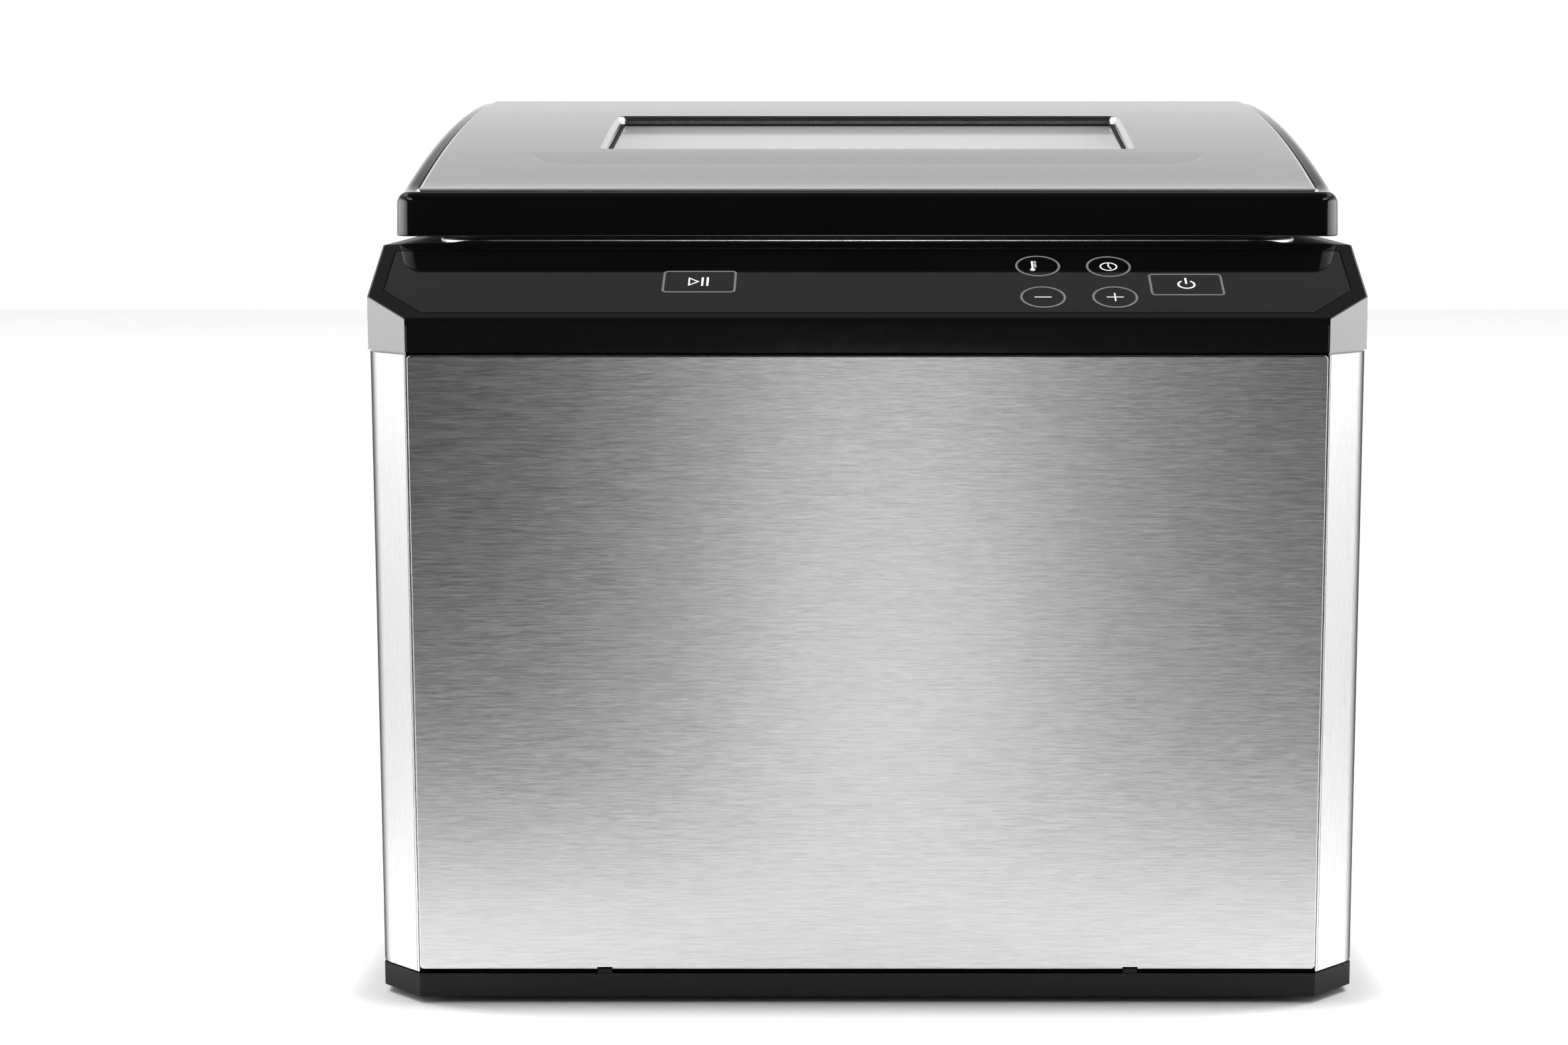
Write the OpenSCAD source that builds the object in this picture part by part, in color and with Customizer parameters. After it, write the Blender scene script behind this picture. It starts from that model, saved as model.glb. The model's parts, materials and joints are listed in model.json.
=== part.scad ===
// Lidded sous vide water bath with a built-in circulation pump.
// Millimetres. The origin is the middle of the footprint, on the surface that the feet stand on.
// +X is to the right, +Y to the rear, +Z up; the sloping touch panel is at the front, -Y.

/* [Housing] */
// Width over the side panels
body_w = 350; // [348:1:356]
// Depth over the side panels, front face to rear edge
body_d = 300; // [298:1:304]
// Width of each 45 degree front corner, measured along X
chamfer = 15.3; // [13:0.1:18]
// Radius of the rear corners
rear_r = 12; // [8:1:16]
// Height of the rubber feet
foot_h = 2.5; // [2:0.5:4]
// Height of the base tray's outer edge
base_h = 8.4; // [7.5:0.1:9]
// Height of the steel side panels
shell_h = 219.9; // [218:0.1:222]
// Sheet thickness of the steel panels
sheet_t = 0.8; // [0.6:0.1:1.2]

/* [Control panel] */
// Height of the panel's vertical front lip
lip_h = 11.6; // [10:0.1:14]
// Horizontal depth of the sloping part
panel_run = 52; // [51:0.5:53]
// Slope of the panel from horizontal, degrees
panel_slope = 24.1; // [23:0.1:25]
// Distance from the panel's edge to the overlay's edge
overlay_inset = 4.9; // [4:0.1:6]
// Diameter of the round touch keys
round_key_d = 16; // [14:0.5:17]

/* [Water tank] */
// Inner width of the tank
tank_w = 292; // [286:1:294]
// Inner depth of the tank, front to back
tank_l = 200; // [196:1:202]
// Inner height of the tank, floor to flange
tank_h = 189; // [185:1:192]
// Corner radius of the tank
tank_r = 23; // [18:1:26]

/* [Lid] */
// Width of the lid
lid_w = 342.6; // [340:0.2:344]
// Depth of the lid
lid_l = 240; // [238:1:242]
// Radius of the arc that the lid's top follows from front to back
lid_arc_r = 1250; // [1200:10:1400]
// Inner width of the window
window_w = 202; // [190:1:206]
// Inner depth of the window
window_l = 79; // [74:1:82]

/* [Rack] */
// Number of dividers in the pouch rack
divider_count = 5; // [3:1:6]
// Height of the rack's handles above its feet
rack_h = 168; // [150:1:172]

/* [Hidden] */

$fn = 48;
cut = 1;                                    // how far a cutting body runs past a face
half_w = body_w / 2;
front_y = -body_d / 2;
rear_y = body_d / 2;
tray_top = foot_h + base_h;
shell_z = tray_top + 0.8;                   // shadow gap above the tray
shell_top = shell_z + shell_h;
front_z = shell_z + 0.8;                    // the front panel stops a little higher than the sides
head_z = shell_top + 0.8;                   // shadow gap below the head
lip_z = head_z + lip_h;
deck_y = front_y + panel_run;
deck_z = lip_z + panel_run * tan(panel_slope);
skin_t = 2.4;                               // wall of the moulded top parts
rear_recess = 3;                            // rear panel behind the side panels' edges
seam_x = half_w - 25;                       // where each side panel ends on the rear face

flange_h = 2.4;                             // tank flange above the deck
flange_w = 314;
flange_l = lid_l - 3;
flange_r = 20;
flange_top = deck_z + flange_h;
lid_z = flange_top + 0.6;                   // bottom edge of the lid's skirt
lid_y = deck_y;                             // lid front face, in line with the panel's rear edge
mid_y = lid_y + lid_l / 2;                  // centre line of lid, tank and rack
tank_z = flange_top - tank_h;               // inner floor of the tank
arc_y = front_y + 359.5;                    // centre of the lid's top arc
arc_z = lid_z - 1199;
flat_z = lid_z + 15.9;                      // level band along the lid's front edge
flat_l = 13.6;
window_y = front_y + 170.5;                   // middle of the window
window_tilt = asin((arc_y - window_y) / lid_arc_r);
window_z = arc_z + lid_arc_r * cos(window_tilt);
glass_drop = 3.4;                           // glass below the lid's plate
glass_t = 4;

pump_x = -90;
pump_z = 36;                                // underside of the pump body
hose_x = pump_x - 17;
hose_y = -112;
nozzle_z = 150;
inlet_x = 118;
inlet_z = 42;
grip_z = 186;
grip_l = 112;
grip_h = 30;
grip_depth = 15;
rack_w = 262;
rack_l = 168;

// ---------------------------------------------------------------- shared shapes

// Plan of the housing: flat chamfers in front, round corners behind.
module plan(inset = 0) {
    w = half_w - inset;
    f = front_y + inset;
    b = rear_y - inset;
    c = chamfer - inset * (2 - sqrt(2));
    r = max(rear_r - inset, 1);
    polygon([[-w + c, f], [w - c, f], [w, f + c], [w, b - r], [w - r, b - r], [w - r, b],
        [-w + r, b], [-w + r, b - r], [-w, b - r], [-w, f + c]]);
    for (side = [-1, 1]) translate([side * (w - r), b - r]) circle(r = r, $fn = 64);
}

// Solid of the plan between two heights.
module block(inset, z0, z1) {
    translate([0, 0, z0]) linear_extrude(z1 - z0) plan(inset);
}

// Rectangle with round corners, centred.
module rounded(w, l, r) {
    square([w - 2 * r, l], center = true);
    square([w, l - 2 * r], center = true);
    for (x = [-1, 1], y = [-1, 1]) translate([x * (w / 2 - r), y * (l / 2 - r)]) circle(r = r);
}

// Rounded prism about the tank's centre line.
module tank_prism(w, l, r, z0, z1) {
    translate([0, mid_y, z0]) linear_extrude(z1 - z0) rounded(w, l, r);
}

// Closed ring about the tank's centre line.
module tank_ring(w, l, r, wall, z0, z1) {
    difference() {
        tank_prism(w, l, r, z0, z1);
        tank_prism(w - 2 * wall, l - 2 * wall, r - wall, z0 - cut, z1 + cut);
    }
}

// A Y-Z outline drawn across the housing.
module across(w) {
    rotate([90, 0, 90]) translate([0, 0, -w / 2]) linear_extrude(w) children();
}

// Frame of reference on the sloping panel: X across, Y up the slope, Z off its surface.
module on_panel(off = 0) {
    translate([0, front_y, lip_z]) rotate([panel_slope, 0, 0]) translate([0, 0, off]) children();
}

// Everything above the panel and the deck, lowered by a depth measured square to the slope.
module above_head(drop) {
    d = drop / cos(panel_slope);
    across(body_w + 20) polygon([[front_y - 20, lip_z - d - 20 * tan(panel_slope)],
        [deck_y, deck_z - d], [deck_y, deck_z - drop], [rear_y + 20, deck_z - drop],
        [rear_y + 20, deck_z + 60], [front_y - 20, deck_z + 60]]);
}

module tube(r_out, r_in, h) {
    difference() {
        cylinder(r = r_out, h = h);
        translate([0, 0, -cut]) cylinder(r = r_in, h = h + 2 * cut);
    }
}

module rod(r, from, to) {
    d = to - from;
    h = norm(d);
    translate(from) rotate([0, acos(d[2] / h), atan2(d[1], d[0])]) cylinder(r = r, h = h, $fn = 24);
}

module pan_screw(r_head, h_head, r_shank, l_shank) {
    cylinder(r = r_head, h = h_head, $fn = 32);
    translate([0, 0, -l_shank]) cylinder(r = r_shank, h = l_shank + 0.1, $fn = 24);
}

// ---------------------------------------------------------------- base

foot_places = [for (x = [-1, 1], y = [-1, 1]) [x * (half_w - 32), y * (body_d / 2 - 34)]];
base_screw_places = [for (x = [-1, 0, 1], y = [-1, 1]) [x * (half_w - 62), y * (body_d / 2 - 16)]];
tab_x = 93.5;

module base_tray() {
    color([0.05, 0.05, 0.055]) difference() {
        union() {
            block(0.6, foot_h, tray_top);
            block(4.2, tray_top - cut, shell_z + 6);      // inner rim that locates the panels
            for (side = [-1, 1]) snap_tab(side * tab_x);
        }
        block(6.4, foot_h + 2.6, shell_z + 6 + cut);
        for (p = foot_places) translate([p[0], p[1], foot_h - cut]) cylinder(r = 8, h = 1 + cut);
        for (p = foot_places) translate([p[0], p[1], foot_h]) cylinder(r = 1.6, h = 4);
        for (p = base_screw_places) translate([p[0], p[1], foot_h - cut]) cylinder(r = 3.4, h = 1.6 + cut);
        for (p = base_screw_places) translate([p[0], p[1], foot_h]) cylinder(r = 1.6, h = 4);
        for (x = [-110 : 10 : -70], y = [-4 : 13 : 48])
            translate([x - 1.5, mid_y - 22 + y, foot_h - cut]) cube([3, 9, 5]);
    }
}

// Wedge behind the front panel's lower edge, seen in the gap above the tray.
module snap_tab(x) {
    translate([x, front_y + sheet_t + 0.05, tray_top - cut]) rotate([-90, 0, 0]) rotate([0, 0, 180])
        linear_extrude(2.5) polygon([[-3, -cut], [3, -cut], [2.3, 2.7], [-2.3, 2.7]]);
}

module rubber_feet() {
    color([0.11, 0.11, 0.11]) for (p = foot_places) translate([p[0], p[1], 0]) difference() {
        union() {
            cylinder(r1 = 7, r2 = 7.8, h = foot_h);
            cylinder(r = 7.9, h = foot_h + 1);
        }
        translate([0, 0, -cut]) cylinder(r = 3.4, h = 1.7 + cut);
        translate([0, 0, -cut]) cylinder(r = 1.6, h = foot_h + 3);
    }
}

module foot_screws() {
    color([0.6, 0.6, 0.62]) for (p = foot_places)
        translate([p[0], p[1], 1.7]) mirror([0, 0, 1]) pan_screw(3.1, 1.2, 1.5, 6);
}

module base_screws() {
    color([0.6, 0.6, 0.62]) for (p = base_screw_places)
        translate([p[0], p[1], foot_h + 1.6]) mirror([0, 0, 1]) pan_screw(3.1, 1.4, 1.5, 6);
}

// ---------------------------------------------------------------- steel shell

front_w = 2 * (half_w - chamfer);

module front_panel() {
    fold = 3.4;
    color([0.66, 0.66, 0.67]) {
        translate([-front_w / 2 + 0.3, front_y, front_z]) cube([front_w - 0.6, sheet_t, shell_top - front_z]);
        for (side = [-1, 1]) translate([side * (front_w / 2 - 0.3) - (side > 0 ? sheet_t : 0), front_y, front_z])
            cube([sheet_t, fold, shell_top - front_z]);
        translate([-front_w / 2 + 0.3, front_y, shell_top - sheet_t]) cube([front_w - 0.6, fold, sheet_t]);
    }
}

// Shell strip from the front chamfer, along the side and round the rear corner.
module side_panel(side) {
    far = 60;
    color([0.83, 0.83, 0.84]) difference() {
        intersection() {
            difference() {
                block(0, shell_z, shell_top);
                block(sheet_t, shell_z - cut, shell_top + cut);
            }
            union() {
                translate([side > 0 ? front_w / 2 : -front_w / 2 - far, front_y - cut, 0])
                    cube([far, body_d / 2 + 2 * cut, head_z]);
                translate([side > 0 ? seam_x : -seam_x - far, 0, 0]) cube([far, body_d / 2 + cut, head_z]);
            }
        }
        translate([side * half_w, 0, grip_z]) cube([10, grip_l, grip_h], center = true);
        for (row = [0 : 5]) translate([side * half_w, rear_y - 62, 40 + row * 9])
            cube([10, 44, 3], center = true);
    }
}

module left_side_panel() { side_panel(-1); }

module right_side_panel() { side_panel(1); }

rear_w = 2 * seam_x + 6;
rear_screw_places = [for (x = [-1, 1], z = [24, 120, 216]) [x * (seam_x - 5), z]];

module rear_panel() {
    color([0.62, 0.62, 0.63]) difference() {
        translate([-rear_w / 2, rear_y - rear_recess - 1, shell_z]) cube([rear_w, 1, shell_h]);
        translate([inlet_x, rear_y - rear_recess, inlet_z]) cube([29, 8, 21], center = true);
        for (side = [-1, 1]) translate([inlet_x + side * 20, rear_y, inlet_z])
            rotate([90, 0, 0]) cylinder(r = 1.7, h = 8);
        for (p = rear_screw_places) translate([p[0], rear_y, p[1]])
            rotate([90, 0, 0]) cylinder(r = 1.6, h = 8);
        for (col = [-4 : 4], row = [0 : 5]) translate([col * 19, rear_y - rear_recess, 34 + row * 8])
            cube([14, 8, 3], center = true);
        for (col = [-4 : 4], row = [0 : 3]) translate([col * 19, rear_y - rear_recess, 188 + row * 8])
            cube([14, 8, 3], center = true);
    }
}

module rear_screws() {
    color([0.7, 0.7, 0.72]) for (p = rear_screw_places)
        translate([p[0], rear_y - rear_recess, p[1]]) rotate([-90, 0, 0]) pan_screw(3.2, 1.8, 1.5, 7);
}

// Open box behind the hole in a side panel, for the fingers.
module grip_cup(side) {
    color([0.06, 0.06, 0.065]) difference() {
        translate([side * (half_w - sheet_t - 0.1 - grip_depth / 2), 0, grip_z])
            cube([grip_depth, grip_l + 8, grip_h + 8], center = true);
        translate([side * (half_w - grip_depth / 2 + 1), 0, grip_z])
            cube([grip_depth + 0.5, grip_l, grip_h], center = true);
    }
}

module left_grip_cup() { grip_cup(-1); }

module right_grip_cup() { grip_cup(1); }

// ---------------------------------------------------------------- head

module top_frame() {
    color([0.78, 0.78, 0.79]) difference() {
        union() {
            block(0, head_z, deck_z);
            block(sheet_t + 0.3, shell_top - 9, head_z + cut);    // collar inside the steel shell
        }
        block(skin_t, shell_top - 10, deck_z + cut);
        above_head(0.1);
        intersection() {
            block(0.6, head_z, deck_z + cut);
            above_head(skin_t + 0.1);
        }
        translate([-front_w / 2, front_y - cut, head_z - cut]) cube([front_w, cut + skin_t + 0.1, 60]);
        translate([-front_w / 2, front_y - cut, shell_top - 10]) cube([front_w, 5, head_z - shell_top + 10]);
    }
}

// Outline of the sloping face, drawn on the slope.
module panel_outline(inset, l0, l1) {
    w = half_w - inset;
    c = chamfer;
    k = 1 / cos(panel_slope);
    polygon([[-w + c, l0], [w - c, l0], [w, l0 + c * k], [w, l1], [-w, l1], [-w, l0 + c * k]]);
}

slope_l = panel_run / cos(panel_slope);

module control_bezel() {
    color([0.03, 0.03, 0.032]) {
        difference() {
            intersection() {
                block(0.6, head_z, deck_z + 2);
                difference() {
                    above_head(skin_t);
                    above_head(0);
                    translate([-half_w * 2, deck_y - 0.05, head_z]) cube([half_w * 4, body_d, 80]);
                }
            }
            on_panel(-0.9) linear_extrude(4) panel_outline(overlay_inset, overlay_inset, slope_l - 4.5);
        }
        difference() {
            translate([-front_w / 2 + 0.1, front_y, head_z]) cube([front_w - 0.2, skin_t, lip_h]);
            above_head(0);
        }
    }
}

module touch_overlay() {
    gap = 0.35;
    color([0.04, 0.04, 0.045]) on_panel(-0.85) linear_extrude(0.8)
        panel_outline(overlay_inset + gap, overlay_inset + gap, slope_l - 4.5 - gap);
}

// Key places on the slope: x, distance up the slope.
thermo_key = [60.7, 40.2];
timer_key = [85.9, 39.7];
minus_key = [61.4, 16.4];
plus_key = [86.6, 16.4];
power_key = [112.4, 25.9];
start_key = [-59.3, 28.1];
wide_key = [26, 16.4];
line_w = 0.85;                              // printed key outlines
symbol_w = 0.6;                             // printed symbols

module ring_line(r, w) {
    difference() {
        circle(r = r);
        circle(r = r - w);
    }
}

module wide_outline() {
    difference() {
        rounded(wide_key[0], wide_key[1], 1.8);
        rounded(wide_key[0] - 2 * line_w, wide_key[1] - 2 * line_w, 1.8 - line_w);
    }
}

// Bulb, tube and scale marks.
module thermometer_symbol() {
    translate([-1.9, -2.8]) circle(r = 0.9);
    translate([-2.25, -2.8]) square([0.7, 6.4]);
    for (i = [0 : 4]) translate([-1.3, -1 + i * 1.05]) square([0.8, 0.4]);
}

module timer_symbol() {
    ring_line(3.15, symbol_w);
    translate([-symbol_w / 2, -0.2]) square([symbol_w, 2.8]);
    rotate(-62) translate([-0.2, -symbol_w / 2]) square([1.9, symbol_w]);
}

module power_symbol() {
    gap = 1.5;
    difference() {
        ring_line(3.2, 0.7);
        translate([-gap, 1]) square([2 * gap, 3]);
    }
    translate([-0.35, 0.4]) square([0.7, 4.6]);
}

module start_symbol() {
    difference() {
        polygon([[-3.9, -3.4], [-3.9, 3.4], [0.15, 0]]);
        polygon([[-3.25, -2], [-3.25, 2], [-0.86, 0]]);
    }
    for (x = [0.5, 2.4]) translate([x, -3.4]) square([0.95, 6.8]);
}

module key_print() {
    color([0.88, 0.88, 0.88]) on_panel(-0.05) linear_extrude(0.12) {
        for (p = [thermo_key, timer_key, minus_key, plus_key]) translate(p)
            ring_line(round_key_d / 2, line_w);
        for (p = [power_key, start_key]) translate(p) wide_outline();
        translate(thermo_key) thermometer_symbol();
        translate(timer_key) timer_symbol();
        for (p = [minus_key, plus_key]) translate(p) square([6, symbol_w], center = true);
        translate(plus_key) square([symbol_w, 6], center = true);
        translate(power_key) power_symbol();
        translate(start_key) start_symbol();
    }
}

module rear_deck() {
    color([0.03, 0.03, 0.032]) difference() {
        block(0.6, deck_z - skin_t, deck_z);
        translate([-half_w * 2, front_y - cut, deck_z - 10]) cube([half_w * 4, panel_run + cut + 0.05, 20]);
        tank_prism(tank_w + 5, tank_l + 5, tank_r + 2, deck_z - 10, deck_z + cut);
    }
}

board_off = -9.6;

module control_board() {
    color([0.07, 0.28, 0.13]) on_panel(board_off) {
        translate([-140, 7, 0]) cube([280, 40, 1.6]);
        for (x = [-30, 30]) translate([x - 7, 24, -1.4]) cube([14, 14, 1.4]);
        translate([-100, 20, -6]) cylinder(r = 6, h = 6);
    }
}

module touch_pads() {
    pad_h = -skin_t - 0.05 - board_off - 1.6;
    color([0.2, 0.2, 0.2])
        for (p = [thermo_key, timer_key, minus_key, plus_key, power_key, start_key])
            on_panel(board_off + 1.6) translate(p) cylinder(r = 6, h = pad_h);
}

module display_module() {
    color([0.75, 0.75, 0.72]) on_panel(board_off + 1.6) translate([-26, 17, 0]) difference() {
        cube([52, 20, 5.4]);
        for (i = [0 : 3]) translate([3 + i * 12, 3, 4.6]) cube([9, 14, 2]);
    }
}

// ---------------------------------------------------------------- tank and heater

module water_tank() {
    wall = 0.8;
    color([0.8, 0.8, 0.81]) difference() {
        union() {
            tank_prism(tank_w + 2 * wall, tank_l + 2 * wall, tank_r + wall, tank_z - wall, flange_top);
            tank_prism(flange_w, flange_l, flange_r, deck_z + 0.05, flange_top);
        }
        tank_prism(tank_w, tank_l, tank_r, tank_z, flange_top + cut);
        difference() {
            tank_prism(flange_w - 2 * wall, flange_l - 2 * wall, flange_r - wall, deck_z - cut,
                flange_top - wall);
            tank_prism(tank_w + 2 * wall, tank_l + 2 * wall, tank_r + wall, deck_z - 2 * cut, flange_top);
        }
        translate([pump_x, mid_y, tank_z - 5]) cylinder(r = 10, h = 10);
        translate([hose_x, lid_y + 5, nozzle_z]) rotate([-90, 0, 0]) cylinder(r = 6, h = 25);
        translate([40, lid_y + 5, 110]) rotate([-90, 0, 0]) cylinder(r = 3, h = 25);
    }
}

module tank_gasket() {
    color([0.75, 0.75, 0.75]) tank_ring(tank_w + 14, tank_l + 14, tank_r + 6, 3.6, deck_z, flange_top - 0.8);
}

module tank_insulation() {
    color([0.9, 0.88, 0.82]) difference() {
        tank_ring(tank_w + 18, tank_l + 18, tank_r + 9, 7.8, tank_z + 3, deck_z - 12);
        translate([hose_x, lid_y - 5, nozzle_z]) rotate([-90, 0, 0]) cylinder(r = 11, h = 30);
        translate([40, lid_y - 5, 110]) rotate([-90, 0, 0]) cylinder(r = 11, h = 30);
    }
}

heater_x = 34;
plate_z = tank_z - 0.8;

module heater_plate() {
    color([0.7, 0.71, 0.73]) difference() {
        translate([heater_x, mid_y, plate_z - 4]) linear_extrude(4) rounded(190, 150, 10);
        for (x = [-1, 1], y = [-1, 1]) translate([heater_x + x * 85, mid_y + y * 65, plate_z - 5])
            cylinder(r = 2.2, h = 6);
    }
}

module heater_element() {
    leg = 130;
    bend_r = 38;
    z = plate_z - 4 - 4;
    color([0.35, 0.35, 0.36]) difference() {
        union() {
            for (side = [-1, 1]) translate([heater_x - leg / 2 - 8, mid_y + side * bend_r, z])
                rotate([0, 90, 0]) cylinder(r = 4, h = leg);
            translate([heater_x + leg / 2 - 8, mid_y, z]) rotate([0, 0, -90])
                rotate_extrude(angle = 180) translate([bend_r, 0]) circle(r = 4);
            for (side = [-1, 1]) translate([heater_x - leg / 2 - 22, mid_y + side * bend_r, z])
                rotate([0, 90, 0]) cylinder(r = 1.8, h = 16);
        }
        translate([heater_x - 100, mid_y - 80, plate_z - 4.4]) cube([210, 160, 5]);
    }
}

module thermal_cutout() {
    color([0.82, 0.8, 0.74]) translate([heater_x, mid_y, plate_z - 4]) {
        translate([0, 0, -1]) difference() {
            translate([-17, -6, 0]) cube([34, 12, 1]);
            for (x = [-13, 13]) translate([x, 0, -cut]) cylinder(r = 1.7, h = 3);
        }
        translate([0, 0, -9]) cylinder(r = 8, h = 8.2);
        for (x = [-3, 3]) translate([x - 0.4, -2.5, -17]) cube([0.8, 5, 8.5]);
    }
}

module temperature_probe() {
    color([0.78, 0.78, 0.8]) translate([40, lid_y + 4, 110]) rotate([-90, 0, 0]) {
        cylinder(r = 2.98, h = 24);
        translate([0, 0, 24]) sphere(r = 2.98);
    }
}

module probe_nut() {
    color([0.72, 0.66, 0.4]) translate([40, mid_y - tank_l / 2 - 0.85, 110]) rotate([90, 0, 0]) difference() {
        cylinder(r = 6.5, h = 5, $fn = 6);
        translate([0, 0, -cut]) cylinder(r = 3, h = 8);
    }
}

// ---------------------------------------------------------------- circulation

module intake_grille() {
    color([0.8, 0.8, 0.81]) translate([pump_x, mid_y, tank_z + 0.05]) difference() {
        cylinder(r = 24, h = 4);
        translate([0, 0, -cut]) cylinder(r = 22.8, h = 4.2);
        for (ring = [0 : 3], i = [0 : max(ring * 6 - 1, 0)]) rotate(i * 60 / max(ring, 1))
            translate([ring * 5.6, 0, 0]) cylinder(r = 1.7, h = 8, $fn = 16);
    }
}

module suction_fitting() {
    color([0.82, 0.82, 0.8]) translate([pump_x, mid_y, 0]) difference() {
        union() {
            translate([0, 0, tank_z - 13]) cylinder(r = 9.98, h = 14);
            translate([0, 0, tank_z + 0.02]) cylinder(r = 13, h = 1.6);
            translate([0, 0, plate_z - 4.1]) cylinder(r = 14, h = 4, $fn = 6);
        }
        translate([0, 0, tank_z - 20]) cylinder(r = 8, h = 30);
    }
}

neck_z = pump_z + 22;

module suction_hose() {
    color([0.75, 0.75, 0.72]) translate([pump_x, mid_y, neck_z + 0.4])
        tube(12.6, 10, plate_z - 4.6 - neck_z);
}

module pump_body() {
    color([0.12, 0.12, 0.13]) difference() {
        union() {
            translate([pump_x, mid_y, pump_z]) cylinder(r = 31, h = 22);
            translate([pump_x, mid_y, neck_z - cut]) cylinder(r = 9.98, h = 9);
            translate([hose_x, mid_y, pump_z + 11]) rotate([90, 0, 0]) cylinder(r = 7, h = 46);
            for (a = [45 : 90 : 315]) translate([pump_x, mid_y, pump_z]) rotate(a)
                translate([33, 0, 0]) cylinder(r = 4, h = 6);
        }
        translate([pump_x, mid_y, pump_z + 4]) cylinder(r = 22.5, h = 14);
        translate([pump_x, mid_y, pump_z + 4]) cylinder(r = 8, h = 40);
        translate([pump_x, mid_y, pump_z - cut]) cylinder(r = 5, h = 8);
        translate([hose_x, mid_y, pump_z + 11]) rotate([90, 0, 0]) cylinder(r = 5, h = 50);
        for (a = [45 : 90 : 315]) translate([pump_x, mid_y, pump_z - cut]) rotate(a)
            translate([33, 0, 0]) cylinder(r = 1.6, h = 10);
    }
}

motor_z = foot_h + 3.2;

module pump_motor() {
    color([0.3, 0.3, 0.32]) translate([pump_x, mid_y, motor_z]) difference() {
        union() {
            cylinder(r = 25, h = pump_z - 0.1 - motor_z);
            translate([-6, -31, 3]) cube([12, 8, 16]);
        }
        translate([0, 0, 3]) cylinder(r = 12, h = 22);
        translate([0, 0, 3]) cylinder(r = 5, h = 40);
    }
}

module pump_bushing() {
    color([0.72, 0.6, 0.3]) translate([pump_x, mid_y, pump_z - 4]) tube(5, 2.05, 8);
}

module pump_shaft() {
    color([0.75, 0.75, 0.77]) translate([pump_x, mid_y, motor_z + 3.4]) cylinder(r = 2, h = 43);
}

module pump_magnet() {
    color([0.25, 0.25, 0.27]) translate([pump_x, mid_y, motor_z + 5]) tube(11.2, 2, 18);
}

module pump_impeller() {
    color([0.85, 0.85, 0.82]) translate([pump_x, mid_y, pump_z + 5]) difference() {
        union() {
            cylinder(r = 20.5, h = 1.5);
            cylinder(r = 4.5, h = 9);
            for (i = [0 : 5]) rotate(i * 60) translate([3, 2, 0]) rotate(14) cube([15.5, 1.4, 10]);
        }
        translate([0, 0, -cut]) cylinder(r = 2, h = 14);
    }
}

// Hose route: forward from the pump, up in front of the tank, back into its wall.
module hose_route(r) {
    bend = 14;
    z0 = pump_z + 11;
    start_y = mid_y - 36;
    end_y = mid_y - tank_l / 2 - 6;
    translate([hose_x, start_y, z0]) rotate([90, 0, 0]) cylinder(r = r, h = start_y - hose_y - bend);
    translate([hose_x, hose_y + bend, z0 + bend]) rotate([90, 0, 90]) rotate([0, 0, 180])
        rotate_extrude(angle = 90) translate([bend, 0]) circle(r = r);
    translate([hose_x, hose_y, z0 + bend]) cylinder(r = r, h = nozzle_z - z0 - 2 * bend);
    translate([hose_x, hose_y + bend, nozzle_z - bend]) rotate([90, 0, 90]) rotate([0, 0, 90])
        rotate_extrude(angle = 90) translate([bend, 0]) circle(r = r);
    translate([hose_x, hose_y + bend, nozzle_z]) rotate([-90, 0, 0])
        cylinder(r = r, h = end_y - hose_y - bend);
}

module discharge_hose() {
    color([0.8, 0.8, 0.76]) difference() {
        hose_route(9.5);
        hose_route(7.02);
    }
}

module hose_clamps() {
    color([0.7, 0.7, 0.72]) {
        translate([hose_x, mid_y - 37, pump_z + 11]) rotate([90, 0, 0]) tube(10.3, 9.55, 7);
        translate([hose_x, mid_y - tank_l / 2 - 8, nozzle_z]) rotate([90, 0, 0]) tube(10.3, 9.55, 6);
        translate([pump_x, mid_y, neck_z + 1.6]) tube(13.4, 12.65, 5);
        translate([pump_x, mid_y, plate_z - 11]) tube(13.4, 12.65, 5);
    }
}

module outlet_nozzle() {
    wall_y = mid_y - tank_l / 2;
    color([0.8, 0.8, 0.81]) translate([hose_x, wall_y, nozzle_z]) rotate([-90, 0, 0]) difference() {
        union() {
            translate([0, 0, -16]) cylinder(r = 5.98, h = 17);
            translate([0, 0, -16]) cylinder(r = 7, h = 11);
            translate([0, 0, -4.8]) cylinder(r = 9, h = 3.9, $fn = 6);
            translate([0, 0, 0.05]) cylinder(r1 = 10, r2 = 7, h = 5);
        }
        translate([0, 0, -20]) cylinder(r = 4, h = 30);
    }
}

// ---------------------------------------------------------------- electrics

board_y = front_y + 34;

module power_board() {
    color([0.07, 0.28, 0.13]) difference() {
        translate([20, board_y, 30]) cube([130, 1.6, 110]);
        for (x = [25, 145], z = [35, 135]) translate([x, board_y - cut, z])
            rotate([-90, 0, 0]) cylinder(r = 1.7, h = 4);
    }
}

module power_components() {
    color([0.18, 0.18, 0.2]) translate([0, board_y, 0]) rotate([90, 0, 0]) {
        translate([30, 44, 0.02]) linear_extrude(24) square([34, 30]);
        translate([78, 46, 0.02]) linear_extrude(16) square([28, 13]);
        translate([124, 60, 0.02]) cylinder(r = 8, h = 22);
        translate([124, 86, 0.02]) cylinder(r = 5, h = 13);
        translate([80, 74, 0.02]) linear_extrude(20) square([22, 9]);
        for (x = [36, 52, 68, 84, 100]) translate([x, 112, 0.02]) linear_extrude(11) square([12, 14]);
        translate([36, 90, 0.02]) linear_extrude(1.8) square([18, 10]);
    }
}

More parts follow.
